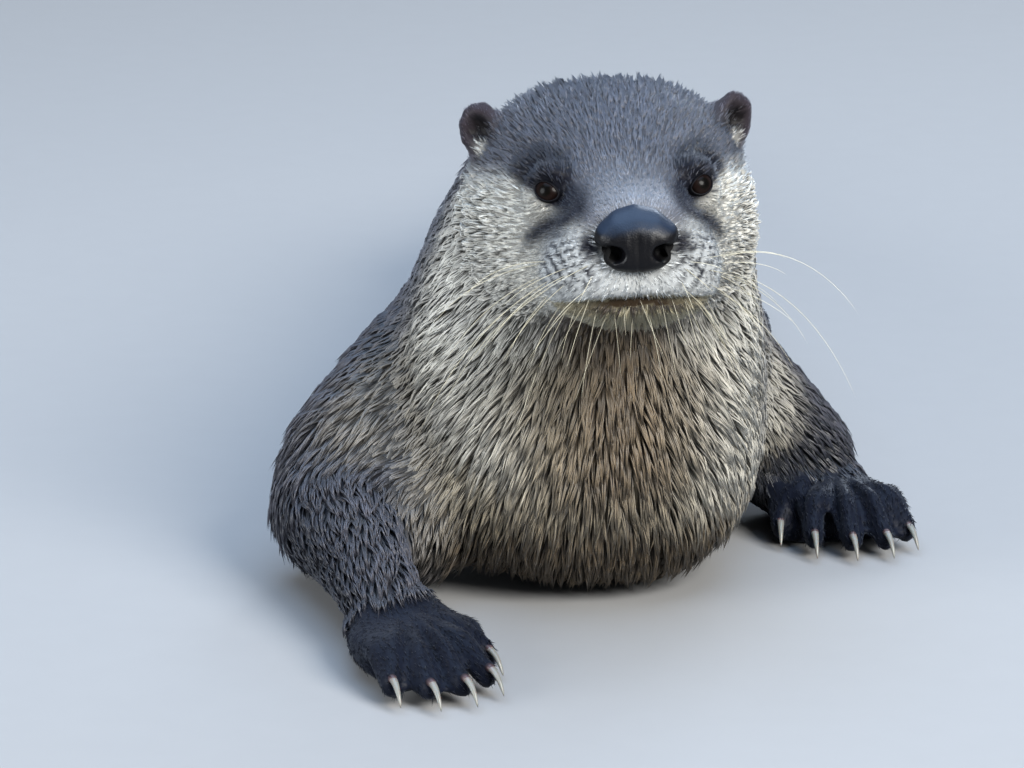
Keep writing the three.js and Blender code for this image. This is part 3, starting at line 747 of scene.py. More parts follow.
def lie_field(net, normals, share):
    """Which way the coat lies at each point of the skin: away from the coat's start at the tip of the nose
    over head and trunk, more and more straight back, and hanging on neck and chest; away from the parting
    at each eye; and down the limbs. It is smoothed over the skin, and much further on chest and upper arms,
    where these ways meet."""
    start = from_head(COAT_START)
    away = unit(net.points - start)
    backward = step(net.points[:, 1], start[1] + 0.12, start[1] + 0.3)[:, None]
    lie = away * (1 - backward) + unit(away + (0, 1.6, -0.25)) * backward
    lie += (0, 0, -0.5) * (of_solid(share, "chest") + of_solid(share, "neck"))[:, None]
    for sign in SIDES.values():
        from_eye = net.points - from_head(mirror(EYE_PARTING, sign))
        distance = np.linalg.norm(from_eye, axis=1, keepdims=True)
        lie += unit(from_eye) * 1.1 * bell(distance, 11 * MM)
    for solid, way in limb_ways().items():
        own = of_solid(share, solid)[:, None]
        mixed = unit(way) + lie * (0.9 if solid.startswith("upper_arm") else 0)
        lie = lie * (1 - own) + unit(mixed) * own
    lie = net.spread(lie, 8)
    meeting = sum(of_solid(share, f"upper_arm_{side}") for side in SIDES) + of_solid(share, "chest")
    lie = lie + (net.spread(lie, 60) - lie) * net.spread(meeting[:, None], 10)
    return unit(lie - normals * (lie * normals).sum(axis=1, keepdims=True))


# ---- Coat -------------------------------------------------------------------------------------------


def spike_layout(rings):
    """A strand is a spike: rings of three points and a tip. Gives its triangles; where their corners lie in
    the strand's own patch of UV, with the three sides next to one another, root to tip upwards, and the cap
    under the first; and each point's share of the way to the tip, where a short strand's root, which shows
    more, counts as 0.42."""
    faces, uv = [(0, 2, 1)], [((0, 0), (1 / 3, 0), (1 / 3, -0.2))]
    for ring in range(rings):
        low, high = ring / rings, (ring + 1) / rings
        for k in range(3):
            left, right = 3 * ring + k, 3 * ring + (k + 1) % 3
            u, v = k / 3, (k + 1) / 3
            if ring == rings - 1:
                faces.append((left, right, 3 * rings))
                uv.append(((u, low), (v, low), ((u + v) / 2, 1)))
            else:
                faces += [(left, right, right + 3), (left, right + 3, left + 3)]
                uv += [((u, low), (v, low), (v, high)), ((u, low), (v, high), (u, high))]
    along = np.append(np.repeat(np.arange(rings) / rings if rings > 1 else [0.42], 3), 1.0)
    return np.array(faces), np.array(uv), along


def spikes(roots, tips, rise, normals, half, rings):
    """Three-sided spikes from roots to tips, all (count, 3). Their rings stand square to the way from root to
    tip with a ridge up along the normals. A spike of two rings bows up by rise at its middle, where the
    second ring is 0.9 as wide as the first."""
    way = unit(tips - roots)
    across = unit(np.cross(normals, way))
    up = np.cross(way, across)
    ring = across[:, None] * np.cos(RING)[:, None] + up[:, None] * np.sin(RING)[:, None]
    ring *= half[:, None, None]
    parts = [roots[:, None] + ring]
    if rings == 2:
        parts.append(((roots + tips) / 2 + normals * rise[:, None])[:, None] + 0.9 * ring)
    return np.concatenate([*parts, tips[:, None]], axis=1)


def scatter(net, density, random):
    """Places on the net, evenly spread by area times density per square metre: for each place the three
    points round it and their shares."""
    triangles = np.concatenate([net.quads[:, [0, 1, 2]], net.quads[:, [0, 2, 3]]])
    a, b, c = (net.points[triangles[:, i]] for i in range(3))
    area = np.linalg.norm(np.cross(b - a, c - a), axis=1) / 2
    weight = np.cumsum(area * density[triangles].mean(axis=1))
    count = int(weight[-1])
    chosen = np.searchsorted(weight, (np.arange(count) + random.random(count)) * weight[-1] / count)
    chosen = np.minimum(chosen, len(triangles) - 1)
    u, v = random.random((2, count))
    over = u + v > 1
    u, v = np.where(over, 1 - u, u), np.where(over, 1 - v, v)
    return triangles[chosen], np.stack([1 - u - v, u, v], axis=1)


def bare(net, normals, share):
    """Where no fur grows: under the nose pad, between the lids and on the soles."""
    none = step(of_solid(share, "nose"), 0.5, 0.8)
    for sign in SIDES.values():
        depth, across, up = eye_measures(net.points, sign)
        none = np.maximum(none, (1 - step(lid_opening(across, up), 1.0, 1.2)) * (depth > 0))
    soles = of_region(share, "paw") * step(-normals[:, 2], 0.5, 0.8)
    return np.clip(np.maximum(none, soles), 0, 1)


def cheeks(points):
    """Where the face's fur grows out into long locks: from behind the eyes back, below them and out to the
    side."""
    x, y, z = to_head(points).T
    return step(np.abs(x), 24, 40) * step(14 - z, 0, 14) * step(y, -46, -8)


def length_pattern(points, share):
    """How long the coat is against its region's length: short about the nose, eyes and ears, longer on the
    chin, longest on the cheeks and behind the ears' line, and short at the tail's tip."""
    x, y, z = to_head(points).T
    head = of_solid(share, "head")
    fine = 0.42 + 0.58 * step(y, -84, -30) + 0.7 * step(y, -25, 20)
    fine += 0.7 * bell(x, 22) * step(MOUTH_HEIGHT - 0.5 - z, 0, 3) * step(-y, 50, 70)
    fine += 0.8 * cheeks(points)
    fine *= 1 - 0.6 * bell(np.hypot(np.abs(x) - EYE_AT[0], z - EYE_AT[2]), 8) * step(-y, 30, 40)
    whole = (1 + (fine - 1) * head) * tail_taper(points)
    for part in SIDES:
        away = np.linalg.norm(points - centre(f"ear_{part}"), axis=1) / MM
        whole *= 1 - 0.55 * (1 - step(away, 11, 19))
    return whole


def whisker_rows(points):
    """The dark dots in rows on the whisker pads, from nought between them to one on them."""
    x, y, z = to_head(points).T
    side = np.abs(x)
    pad = np.clip(1.4 * bell(side - 24, 13) * bell(z + 9, 11) * step(-y, 60, 68), 0, 1)
    rows = np.cos((side + 0.45 * z) * 2 * np.pi / 4.6) * np.cos((z - 0.3 * side) * 2 * np.pi / 4.0)
    return pad * step(rows, 0.0, 0.35)


def cover_pattern(points, share):
    """How many locks grow against the region's number: more on the front of the face, where they are short,
    and at the lips, fewer on the back of the head and the cheeks, and few on the dots of the whisker pads."""
    y, z = to_head(points).T[1:]
    head = of_solid(share, "head")
    more = 0.5 * step(-y, 40, 80) - 0.25 * step(y, -30, 10)
    more += 0.7 * bell(z - MOUTH_HEIGHT + 3, 4) * step(-y, 60, 75)
    more -= 0.3 * cheeks(points)
    return (1 + head * more) * (1 - 0.9 * head * whisker_rows(points))


def parting_cover(net, lie, length):
    """How many more locks grow where the coat parts, so that no skin shows there, and how many fewer where it
    runs together: one plus 0.6 of a lock's length times the rate at which the lie spreads."""
    start, end = net.ends.T
    apart = net.points[end] - net.points[start]
    rate = ((lie[end] - lie[start]) * apart).sum(axis=1) / (apart**2).sum(axis=1)
    spreading = 2 * np.bincount(start, rate, len(net.points)) / net.degree
    return np.clip(1 + 0.6 * length * net.spread(spreading[:, None], 6)[:, 0], 0.8, 2.0)


def unwrap(region, points):
    """Where places fall on an unwrap of the skin, both ways from nought to one over the piece. Face, ears and
    neck are laid out by their angle from straight ahead and their bearing; every other region as a tube
    about its own long axis, by bearing and by distance along it."""
    if region in ("face", "ear", "neck"):
        away = to_head(points) - (0, -10, -5)
        from_ahead = np.arccos(np.clip(-unit(away)[:, 1], -1, 1)) / np.pi
        turn = np.arctan2(away[:, 2], away[:, 0])
        flat = np.stack([from_ahead * np.cos(turn), from_ahead * np.sin(turn)], axis=1)
    else:
        middle = points.mean(axis=0)
        axis = np.linalg.svd(points[::50] - middle, full_matrices=False)[2][0]
        across = unit(np.cross(axis, (0.3, 0.2, 1.0)))
        away = points - middle
        flat = np.stack([bearing(away, across, np.cross(axis, across)), away @ axis], axis=1)
    low, high = flat.min(axis=0), flat.max(axis=0)
    return 0.01 + 0.98 * (flat - low) / (high - low)


def strands_of(locks, coat, random):
    """Strands for each lock: their roots, points, colours and tones, with one row to a strand. Roots lie in
    an oval about the lock's place, longer along its lie, and just under the skin. The tips come together,
    so the lock ends in a point, as wet fur does."""
    total = len(locks["place"]) * coat.strands
    repeat = {key: np.repeat(value, coat.strands, axis=0) for key, value in locks.items()}
    across = np.cross(repeat["normal"], repeat["lie"])
    turn = random.random(total) * 2 * np.pi
    out = np.sqrt(random.random(total)) * coat.spread * MM * repeat["size"] ** 0.5
    off = across * (out * np.cos(turn))[:, None] + 1.8 * repeat["lie"] * (out * np.sin(turn))[:, None]
    root = repeat["place"] + off - repeat["normal"] * ROOT_DEPTH
    length = repeat["reach"] * repeat["size"] * random.uniform(0.8, 1.1, total)
    lift = coat.lift * MM * repeat["size"] * repeat["rise"]
    shown = repeat["place"] + off * random.uniform(0.02, 0.22, total)[:, None]
    tip = shown + repeat["way"] * length[:, None] + repeat["normal"] * lift[:, None]
    half = coat.thick * MM * random.uniform(0.75, 1.2, total) * np.clip(repeat["size"], 0.6, 1.2)
    points = spikes(root, tip, 0.3 * lift + 0.07 * length, repeat["normal"], half, coat.rings)
    tone = repeat["tone"] + random.normal(0, 0.35, total)
    return root, points, repeat["colour"], tone


def gather(locks, clump, random):
    """Draws locks together in clumps, as wet fur does. One lock in every clump leads, and each other bends
    its tip most of the way to the nearest leader's, with most of its tone and rise. Where the coat parts,
    locks that point apart are left as they are."""
    reach = locks["way"] * (locks["size"] * locks["reach"])[:, None]
    leads = np.flatnonzero(random.random(len(clump)) < 1 / clump)
    tree = KDTree(len(leads))
    for index, place in zip(leads.tolist(), (locks["place"] + 0.4 * reach)[leads].tolist()):
        tree.insert(place, index)
    tree.balance()
    leader = np.array([tree.find(place)[1] for place in (locks["place"] + 0.4 * reach).tolist()])
    agree = np.clip((locks["way"] * locks["way"][leader]).sum(axis=1), 0, 1) ** 6
    pull = (agree * (1 - clump**-0.8))[:, None]
    own_tip = locks["place"] + reach
    leader_tip = locks["place"][leader] + 1.1 * reach[leader]
    bent = reach + pull * (leader_tip - own_tip)
    bent -= locks["normal"] * (bent * locks["normal"]).sum(axis=1, keepdims=True)
    length = np.linalg.norm(bent, axis=1)
    locks["way"] = bent / np.maximum(length, 1e-9)[:, None]
    locks["size"] = locks["size"] * np.clip(length / np.linalg.norm(reach, axis=1), 0.65, 1.35)
    pull = pull[:, 0]
    for key in ("tone", "rise"):
        locks[key] = locks[key] * (1 - pull) + locks[key][leader] * pull


def pick_region(places, share, random):
    """Which region's kind of lock grows at each place, by lot from the shares. From the crown to the nape,
    and on the cheeks, the face's locks give way to the neck's over a long stretch, and the ears keep their
    own."""
    share = share.copy()
    face, neck, ear = (REGIONS.index(region) for region in ("face", "neck", "ear"))
    both = share[:, face] + share[:, neck]
    y, z = to_head(places).T[1:]
    above = step(z, -15, 10) * step(y, -5, 5)
    share[:, neck] += above * (both * step(y, 10, 66) - share[:, neck])
    share[:, neck] = np.maximum(share[:, neck], both * cheeks(places))
    share[:, face] = both - share[:, neck]
    share[:, ear] = np.where(share[:, ear] > 0.5, 9.0, 0.0)
    share /= share.sum(axis=1, keepdims=True)
    return (share.cumsum(axis=1) < 0.999 * random.random((len(share), 1))).sum(axis=1)


def coat_locks(net, share, settings, paints):
    """Where every lock grows and how: its place, normal and lie from the skin, its size, rise and region by
    rule and by lot, and its colour from the markings at its own place. Gives the locks, drawn together in
    clumps, and the random numbers to go on with."""
    random = np.random.default_rng(settings.seed)
    normals = net.normals()
    lie = lie_field(net, normals, share)
    density = by_region(share, "cover") * settings.cover / CM2 * cover_pattern(net.points, share)
    density *= (1 - bare(net, normals, share)) * parting_cover(net, lie, by_region(share, "length") * MM)
    corners, weights = scatter(net, density, random)
    count = len(corners)

    def at(values):
        return (values[corners] * weights[:, :, None]).sum(axis=1)

    place, normal = at(net.points), unit(at(normals))
    way = unit(at(lie))
    way = unit(way - normal * (way * normal).sum(axis=1, keepdims=True))
    turn = random.normal(0, 0.13, count)[:, None]
    across = np.cross(normal, way)
    part = at(share)
    head = of_solid(part, "head")
    locks = {
        "place": place,
        "normal": normal,
        "lie": way,
        "way": unit(way * np.cos(turn) + across * np.sin(turn)),
        "size": length_pattern(place, part) * random.uniform(0.75, 1.2, count) * settings.length,
        "rise": random.uniform(0.4, 1.3, count) * (1 - 0.5 * head * cheeks(place)),
        "colour": markings(place, normal, part, paints),
        "tone": random.normal(0, 0.95, count),
        "reach": by_region(part, "length") * MM,
        "region": pick_region(place, region_share(part), random),
    }
    drawn = 1.2 * head * step(to_head(place)[:, 1], -40, 10) + 1.4 * head * cheeks(place)
    gather(locks, by_region(part, "clump") + drawn, random)
    return locks, random


def build_coat(settings, paints):
    """Grows the coat of every region, in pieces small enough, each a stretch of the region: from side to side
    on face, ears and paws, and from front to back elsewhere."""
    wet = coat_material("wet fur", FUR_GLOSS * settings.wetness, FINE_GRAIN)
    short = coat_material("short wet fur", SHORT_FUR_GLOSS * settings.wetness, FINE_GRAIN)
    net, share = skin()
    locks, random = coat_locks(net, share, settings, paints)
    region_of = locks.pop("region")
    for index, region in enumerate(REGIONS):
        coat = COATS[region]
        spike, patch, along = spike_layout(coat.rings)
        own = {key: value[region_of == index] for key, value in locks.items()}
        sort = np.argsort(own["place"][:, 0 if region in ("face", "ear", "paw") else 1], kind="stable")
        pieces = max(1, math.ceil(len(sort) * coat.strands * len(spike) / MOST_TRIANGLES))
        for number, chosen in enumerate(np.array_split(sort, pieces), 1):
            root, points, colour, tone = strands_of({k: v[chosen] for k, v in own.items()}, coat, random)
            count = len(root)
            faces = spike[None] + (np.arange(count) * len(along))[:, None, None]
            uv = unwrap(region, root)[:, None, None] + (patch - 0.5) * UV_PATCH
            attributes = {
                "coat_colour": np.repeat(colour, len(along), axis=0),
                "along": np.tile(along, count),
                "tone": np.repeat(tone, len(along)),
            }
            name = f"coat_{region}" if pieces == 1 else f"coat_{region}_{number}"
            points = above_floor(points.reshape(-1, 3))
            piece = put_mesh(name, points, faces.reshape(-1, 3), attributes, uv.reshape(-1, 2))
            finish_piece(piece, short if region in ("ear", "paw") else wet, SLOTS[region])


# ---- Eyes and lids ----------------------------------------------------------------------------------


def build_eyes(settings):
    """Each eyeball: a sphere by angle from the gaze and bearing round it, with a rounder cornea standing out
    over the iris by a bell curve of the angle. The angle is kept for the material."""
    rows, columns = 40, 48
    angle = np.linspace(0, np.pi, rows)[:, None]
    turn = np.linspace(0, 2 * np.pi, columns, endpoint=False)[None, :, None]
    radius = (EYE_RADIUS - 0.05) * (1 + CORNEA_RISE * bell(angle, CORNEA_ANGLE)) * MM
    material = eye_material(settings)
    for side, sign in SIDES.items():
        gaze = HEAD_AXES @ eye_axes(sign)[0]
        across = unit(np.cross(HEAD_AXES[:, 2], gaze))
        spread = across * np.cos(turn) + np.cross(gaze, across) * np.sin(turn)
        ball = radius[..., None] * (gaze * np.cos(angle)[..., None] + spread * np.sin(angle)[..., None])
        points = (from_head(mirror(EYE_AT, sign)) + ball).reshape(-1, 3)
        from_gaze = np.broadcast_to(angle, (rows, columns)).ravel()
        faces = grid_faces(rows, columns)[:, ::-1]
        piece = put_mesh(f"eyeball_{side}", points, faces, {"from_gaze": from_gaze})
        weld(piece)
        finish_piece(piece, material, "eye_surface", f"eye_{side}")


def build_lids(paints):
    """The bare rims of the lids: the curve |across|^r + |up|^r = 1 of the almond opening, followed by a ring
    for each step of LID_SECTION and set that step's height over the ball."""
    columns = 96
    turn = np.linspace(0, 2 * np.pi, columns, endpoint=False)
    round_way = np.stack([np.cos(turn), np.sin(turn)])
    wide, tall = np.sign(round_way) * np.abs(round_way) ** (2 / LID["roundness"])
    scale, height = np.array(LID_SECTION).T[..., None]
    across = scale * LID["half_width"] * wide
    up = scale * np.where(tall > 0, LID["above"], LID["below"]) * tall - LID["tilt"] * across
    beside = np.minimum(np.hypot(across, up), EYE_RADIUS - 0.4)
    depth = np.sqrt(EYE_RADIUS**2 - beside**2) + height
    faces = grid_faces(len(LID_SECTION), columns)
    material = lid_material(paints)
    for side, sign in SIDES.items():
        gaze, inward, upward = eye_axes(sign)
        local = across[..., None] * inward + up[..., None] * upward + depth[..., None] * gaze
        points = from_head((mirror(EYE_AT, sign) + local).reshape(-1, 3))
        piece = put_mesh(f"lids_{side}", points, faces if sign > 0 else faces[:, ::-1])
        finish_piece(piece, material, "nose_skin")


# ---- Nose -------------------------------------------------------------------------------------------


def build_nose(settings):
    """The nose pad: its solid, finely sampled, smoothed and brought back to the solid's own size, with comma
    nostrils sunk in and a groove down its middle. How deep each point was sunk, with a soft painted shade
    beside the nostrils, both painted dark, and how far it faces up, for a painted sheen on top, are kept for
    the material."""
    net = voxel_net(node_triangles("nose"), NOSE_VOXEL)
    solid = to_head(node_triangles("nose").reshape(-1, 3))
    net.relax(np.full(len(net.points), 22.0))
    local = to_head(net.points)
    low, high = local.min(axis=0), local.max(axis=0)
    local = solid.min(axis=0) + (local - low) / (high - low) * np.ptp(solid, axis=0)
    net.points = from_head(local)
    x, y, z = local.T
    narrow = 0.22 * bell(z + 5, 4.5)
    net.points = net.points - (x * narrow * MM)[:, None] * HEAD_AXES[:, 0]
    x = x * (1 - narrow)
    front = step(-y, 85, 90)
    sunk, shade = np.zeros(len(x)), np.zeros(len(x))
    for sign in SIDES.values():
        over = sign * x
        hole = np.hypot((over - 9.4) / 4.0, (z + 4.4 - 0.25 * (over - 9)) / 2.9)
        slit = np.hypot((z + 3.6 - 0.2 * (over - 12)) / 1.5, (over - 14) / 5.0)
        sunk = np.maximum(sunk, (1 - step(hole, 0.1, 1.1)) * front)
        sunk = np.maximum(sunk, 0.6 * (1 - step(slit, 0.2, 1.1)) * step(-y, 80, 86))
        # Painted shade beside each nostril's outer side: kept only for the material, which paints it black
        # and dull.
        beside = np.hypot((over - 13.2) / 6.8, (z + 5.4) / 4.8)
        shade = np.maximum(shade, 0.85 * (1 - step(beside, 0.55, 1.15)))
    groove = 0.5 * bell(x, 0.8) * front * step(4 - z, 0, 6)
    rim = 0.4 * bell(np.abs(np.abs(x) - 4.6), 1.2) * front * bell(z + 4, 5)
    net.points = net.points - net.normals() * ((NOSTRIL_DEPTH * sunk + groove - rim) * MM)[:, None]
    net.relax(np.ones(len(x)))
    # How far the pad faces up, where the material paints the sky's blue sheen.
    top = step(facing(net.normals(), HEAD_AXES @ (0, -0.35, 1)), 0.35, 0.95) * step(z, -1, 4)
    piece = put_mesh("nose_pad", net.points, net.quads, {"sunk": np.maximum(sunk, shade), "top": top})
    finish_piece(piece, nose_material(settings), "nose_skin", "nose")


# ---- Claws ------------------------------------------------------------------------------------------


def claw_line(node):
    """A claw's root, middle and tip and its radius at each, from its solid: the means of its points in three
    stretches of its longest axis."""
    points = np.unique(node_triangles(node).reshape(-1, 3).round(6), axis=0)
    axis = np.linalg.svd(points - points.mean(axis=0), full_matrices=False)[2][0]
    far = (points - points.mean(axis=0)) @ axis
    share = (far - far.min()) / (far.max() - far.min())
    thirds = [points[share < 0.12], points[(share > 0.2) & (share < 0.8)], points[share > 0.88]]
    centres = np.array([third.mean(axis=0) for third in thirds])
    radii = np.array([np.linalg.norm(third - mid, axis=1).max() for third, mid in zip(thirds, centres)])
    return (centres, radii) if radii[0] > radii[-1] else (centres[::-1], radii[::-1])


def curves(lines, t):
    """Points at shares t of the way along the parabola through each claw's root, middle and tip."""
    t = t[:, None]
    shares = ((1 - t) * (1 - 2 * t), 4 * t * (1 - t), t * (2 * t - 1))
    return np.stack([sum(point * share for point, share in zip(points, shares)) for points, _ in lines])


def build_claws(settings, paints):
    """Every paw's claws: flattened tubes that taper to a point, and round each root a cuticle, a short tube
    that swells out of the toe and closes on the claw."""
    horn, cuticle = claw_material(settings), cuticle_material(settings, paints)
    along, near = np.linspace(0, 1, 18), np.linspace(CUTICLE_AT[0], CUTICLE_AT[-1], 16)
    for paw in PAWS:
        nodes = [f"{paw}_claw_{toe}" for toe in TOES]
        lines = [claw_line(node) for node in nodes]
        base = np.array([radii[0] for _, radii in lines])[:, None]
        taper = CLAW_WIDTH * base * (1 - along) ** CLAW_TAPER
        taper[:, 0] = 0
        swell = base * np.interp(near, CUTICLE_AT, CUTICLE_SWELL)
        build_tubes(f"claws_{paw}", curves(lines, along), taper, 14, 0.8, horn, "claw_horn", *nodes)
        build_tubes(f"cuticles_{paw}", curves(lines, near), swell, 14, 0.9, cuticle, "paw_fur")


# ---- Whiskers ---------------------------------------------------------------------------------------


def build_whiskers(settings, details):
    """Wet whiskers in rows on the muzzle and some at the lips: thin tapered tubes that leave outwards, more
    so further back and lower on the right, then hang by their own weight as a parabola, the long ones
    most."""
    net, _ = skin()
    random = np.random.default_rng(settings.seed)
    roots, ways, lengths, thick = [], [], [], []
    for side, sign in SIDES.items():
        for row in range(4):
            for place in range(4):
                roots.append((sign * (17 + 5 * place), 6 * place - 90, -9 - 3.4 * row - 0.5 * place))
                down = WHISKER_DROOP[side] + 0.22 * row - 0.12
                ways.append((sign * (0.5 + 0.2 * place), 0.05 + 0.1 * place, -down))
                lengths.append(26 + 13 * place)
                thick.append(0.15)
        for place in range(9):
            roots.append((sign * (2 + 3 * place), place - 88, MOUTH_HEIGHT - 1))
            ways.append((sign * (0.05 + 0.07 * place), -0.25, -1))
            lengths.append(22 + 3 * place)
            thick.append(0.1)
    count = len(roots)
    roots = np.array(roots, float) + random.normal(0, 0.7, (count, 3))
    ways = unit(np.array(ways) + random.normal(0, 0.16, (count, 3))) @ HEAD_AXES.T
    lengths = np.array(lengths) * random.uniform(0.55, 1.2, count) * settings.whiskers * MM
    base = net.points[[np.linalg.norm(net.points - root, axis=1).argmin() for root in from_head(roots)]]
    t = np.linspace(0, 1, 14)[None, :, None]
    sag = (0, 0, -WHISKER_SAG) * (lengths * random.uniform(0.4, 1.2, count))[:, None]
    curl = np.cross(ways, (0, 0, 1.0)) * random.normal(0, 0.12, count)[:, None]
    reach = lengths[:, None, None]
    paths = base[:, None] + reach * (ways[:, None] * (t - 0.22 * t**2) + (sag + curl)[:, None] * t**2)
    radii = np.array(thick)[:, None] * MM * (1 - 0.85 * t[:, :, 0])
    radii[:, [0, -1]] = 0
    build_tubes("whiskers", paths, radii, 5, 1.0, whisker_material(details), "face_fur")


# ---- Materials --------------------------------------------------------------------------------------


class Tree:
    """A node tree built by short calls. Each adds a node, feeds its inputs with values or with sockets of
    other nodes, and gives what comes out of it."""

    def __init__(self, tree):
        self.nodes, self.links = tree.nodes, tree.links

    def feed(self, inputs, values):
        """Puts each value in the input that its key names, or links a socket to it."""
        for key, value in values.items():
            if isinstance(value, bpy.types.NodeSocket):
                self.links.new(value, inputs[key])
            elif inputs[key].type == "RGBA":
                inputs[key].default_value = (*value, 1)
            else:
                inputs[key].default_value = value

    def add(self, kind, values=None, **settings):
        """A new node with its settings made and its inputs fed; gives its outputs."""
        node = self.nodes.new(kind)
        for name, setting in settings.items():
            setattr(node, name, setting)
        self.feed(node.inputs, values or {})
        return node.outputs

    @functools.cached_property
    def place(self):
        """The Object coordinates, in which every texture lies."""
        return self.add("ShaderNodeTexCoord")["Object"]

    def read(self, name, kind="Fac"):
        """An attribute of the mesh, as a number or, with Color, as a colour."""
        return self.add("ShaderNodeAttribute", attribute_name=name)[kind]

    def math(self, operation, *values, clamp=False):
        """One sum worked out on numbers."""
        return self.add("ShaderNodeMath", dict(enumerate(values)), operation=operation, use_clamp=clamp)[0]

    def noise(self, scale, detail=2.0):
        """Noise at a scale in cells to a metre."""
        return self.add("ShaderNodeTexNoise", {"Vector": self.place, "Scale": scale, "Detail": detail})["Fac"]

    def mix(self, factor, first, second):
        """The colour that lies between two others by a factor."""
        return self.add("ShaderNodeMix", {0: factor, 6: first, 7: second}, data_type="RGBA")[2]

    def scaled(self, colour, factor):
        """A colour times a number."""
        return self.add("ShaderNodeVectorMath", {0: colour, "Scale": factor}, operation="SCALE")[0]

    def ramp(self, factor, *stops):
        """A colour that runs through the stops, each a position and a colour, as the factor grows."""
        node = self.nodes.new("ShaderNodeValToRGB")
        elements = node.color_ramp.elements
        for _ in stops[2:]:
            elements.new(0.5)
        for element, (position, colour) in zip(elements, stops):
            element.position = position
            element.color = (*colour, 1)
        self.links.new(factor, node.inputs["Fac"])
        return node.outputs["Color"]

    def bump(self, height, depth, strength=1.0, invert=False):
        """The normal of a fine relief, whose full height stands for a depth in metres."""
        values = {"Height": height, "Distance": depth, "Strength": strength}
        return self.add("ShaderNodeBump", values, invert=invert)["Normal"]


class Shading(Tree):
    """The tree of a new material."""

    def __init__(self, name):
        self.material = bpy.data.materials.new(name)
        self.material.use_nodes = True
        super().__init__(self.material.node_tree)

    def finish(self, values):
        """Feeds the material's Principled shader and gives the material."""
        self.feed(self.nodes["Principled BSDF"].inputs, values)
        return self.material


def scale_by(factor, colour):
    """A colour times a number, worked out beforehand."""
    return tuple(factor * part for part in colour)


def coat_group():
    """The wet coat's colour and roughness, shared by skin and fur: darker towards the roots, painted shade
    where the locks lie over one another, paler at the tips, partly a painted sheen, each strand a little
    lighter or darker, over broad soft patches."""
    if "Wet coat" in bpy.data.node_groups:
        return bpy.data.node_groups["Wet coat"]
    group = bpy.data.node_groups.new("Wet coat", "ShaderNodeTree")
    inputs = {"Colour": "Color", "Along": "Float", "Tone": "Float", "Place": "Vector"}
    for name, kind in inputs.items():
        group.interface.new_socket(name, in_out="INPUT", socket_type=f"NodeSocket{kind}")
    for name, kind in {"Colour": "Color", "Roughness": "Float"}.items():
        group.interface.new_socket(name, in_out="OUTPUT", socket_type=f"NodeSocket{kind}")
    tree = Tree(group)
    given = tree.add("NodeGroupInput")
    tree.place = given["Place"]
    patches, fine = tree.noise(45.0, 3.0), tree.noise(420.0)
    # Painted shade and sheen: the lightness grows from 0.17 at the root, where the locks shade one another,
    # to 1.32 at the tip, which catches the sky.
    light = tree.math("POWER", given["Along"], 1.3)
    light = tree.math("MULTIPLY_ADD", light, 1.15, 0.17)
    tone = tree.math("MULTIPLY_ADD", given["Tone"], 0.22, 0.75)
    tone = tree.math("MULTIPLY_ADD", patches, 0.5, tone)
    light = tree.math("MAXIMUM", tree.math("MULTIPLY", light, tone), 0.05)
    rough = tree.math("MULTIPLY_ADD", fine, 0.2, 0.33)
    tree.add("NodeGroupOutput", {"Colour": tree.scaled(given["Colour"], light), "Roughness": rough})
    return group


def coat_material(name, gloss, depth):
    """Wet fur or the furred skin: the shared coat colour, a gloss from the water on it, and a fine relief of
    the given depth."""
    tree = Shading(name)
    given = {
        "Colour": tree.read("coat_colour", "Color"),
        "Along": tree.read("along"),
        "Tone": tree.read("tone"),
        "Place": tree.place,
    }
    wet = tree.add("ShaderNodeGroup", given, node_tree=coat_group())
    return tree.finish({
        "Base Color": wet["Colour"],
        "Roughness": wet["Roughness"],
        "Specular IOR Level": gloss,
        "Sheen Weight": 0.06,
        "Sheen Roughness": 0.5,
        "Sheen Tint": (0.75, 0.85, 1.0),
        "Normal": tree.bump(tree.noise(700.0), depth, 0.6),
    })


def eye_material(settings):
    """A dark wet eye by angle from its gaze: black pupil, brown iris, its dark rim and a dark white beyond,
    all finely flecked, under a thin clear coat."""
    tree = Shading("eye")
    colour = tree.ramp(
        tree.read("from_gaze"),
        (0.0, (0.001, 0.001, 0.001)),
        (0.3, (0.002, 0.0015, 0.001)),
        (0.42, settings.iris),
        (0.6, settings.iris),
        (0.78, (0.002, 0.001, 0.001)),
        (1.0, (0.006, 0.004, 0.003)),
    )
    fleck = tree.math("MULTIPLY_ADD", tree.noise(1500.0, 3.0), 0.9, 0.5)
    return tree.finish({
        "Base Color": tree.scaled(colour, fleck),
        "Roughness": 0.3,
        "Specular IOR Level": 0.05,
        "Coat Weight": 0.06,
        "Coat Roughness": 0.08,
    })


def lid_material(paints):
    """Moist dark skin of the lids' rims, finely pored."""
    tree = Shading("lid skin")
    pores = tree.noise(1400.0)
    return tree.finish({
        "Base Color": tree.mix(pores, scale_by(0.08, paints.mask), scale_by(0.25, paints.mask)),
        "Roughness": tree.math("MULTIPLY_ADD", pores, 0.25, 0.45),
        "Specular IOR Level": 0.12,
        "Normal": tree.bump(pores, FINE_GRAIN),
    })


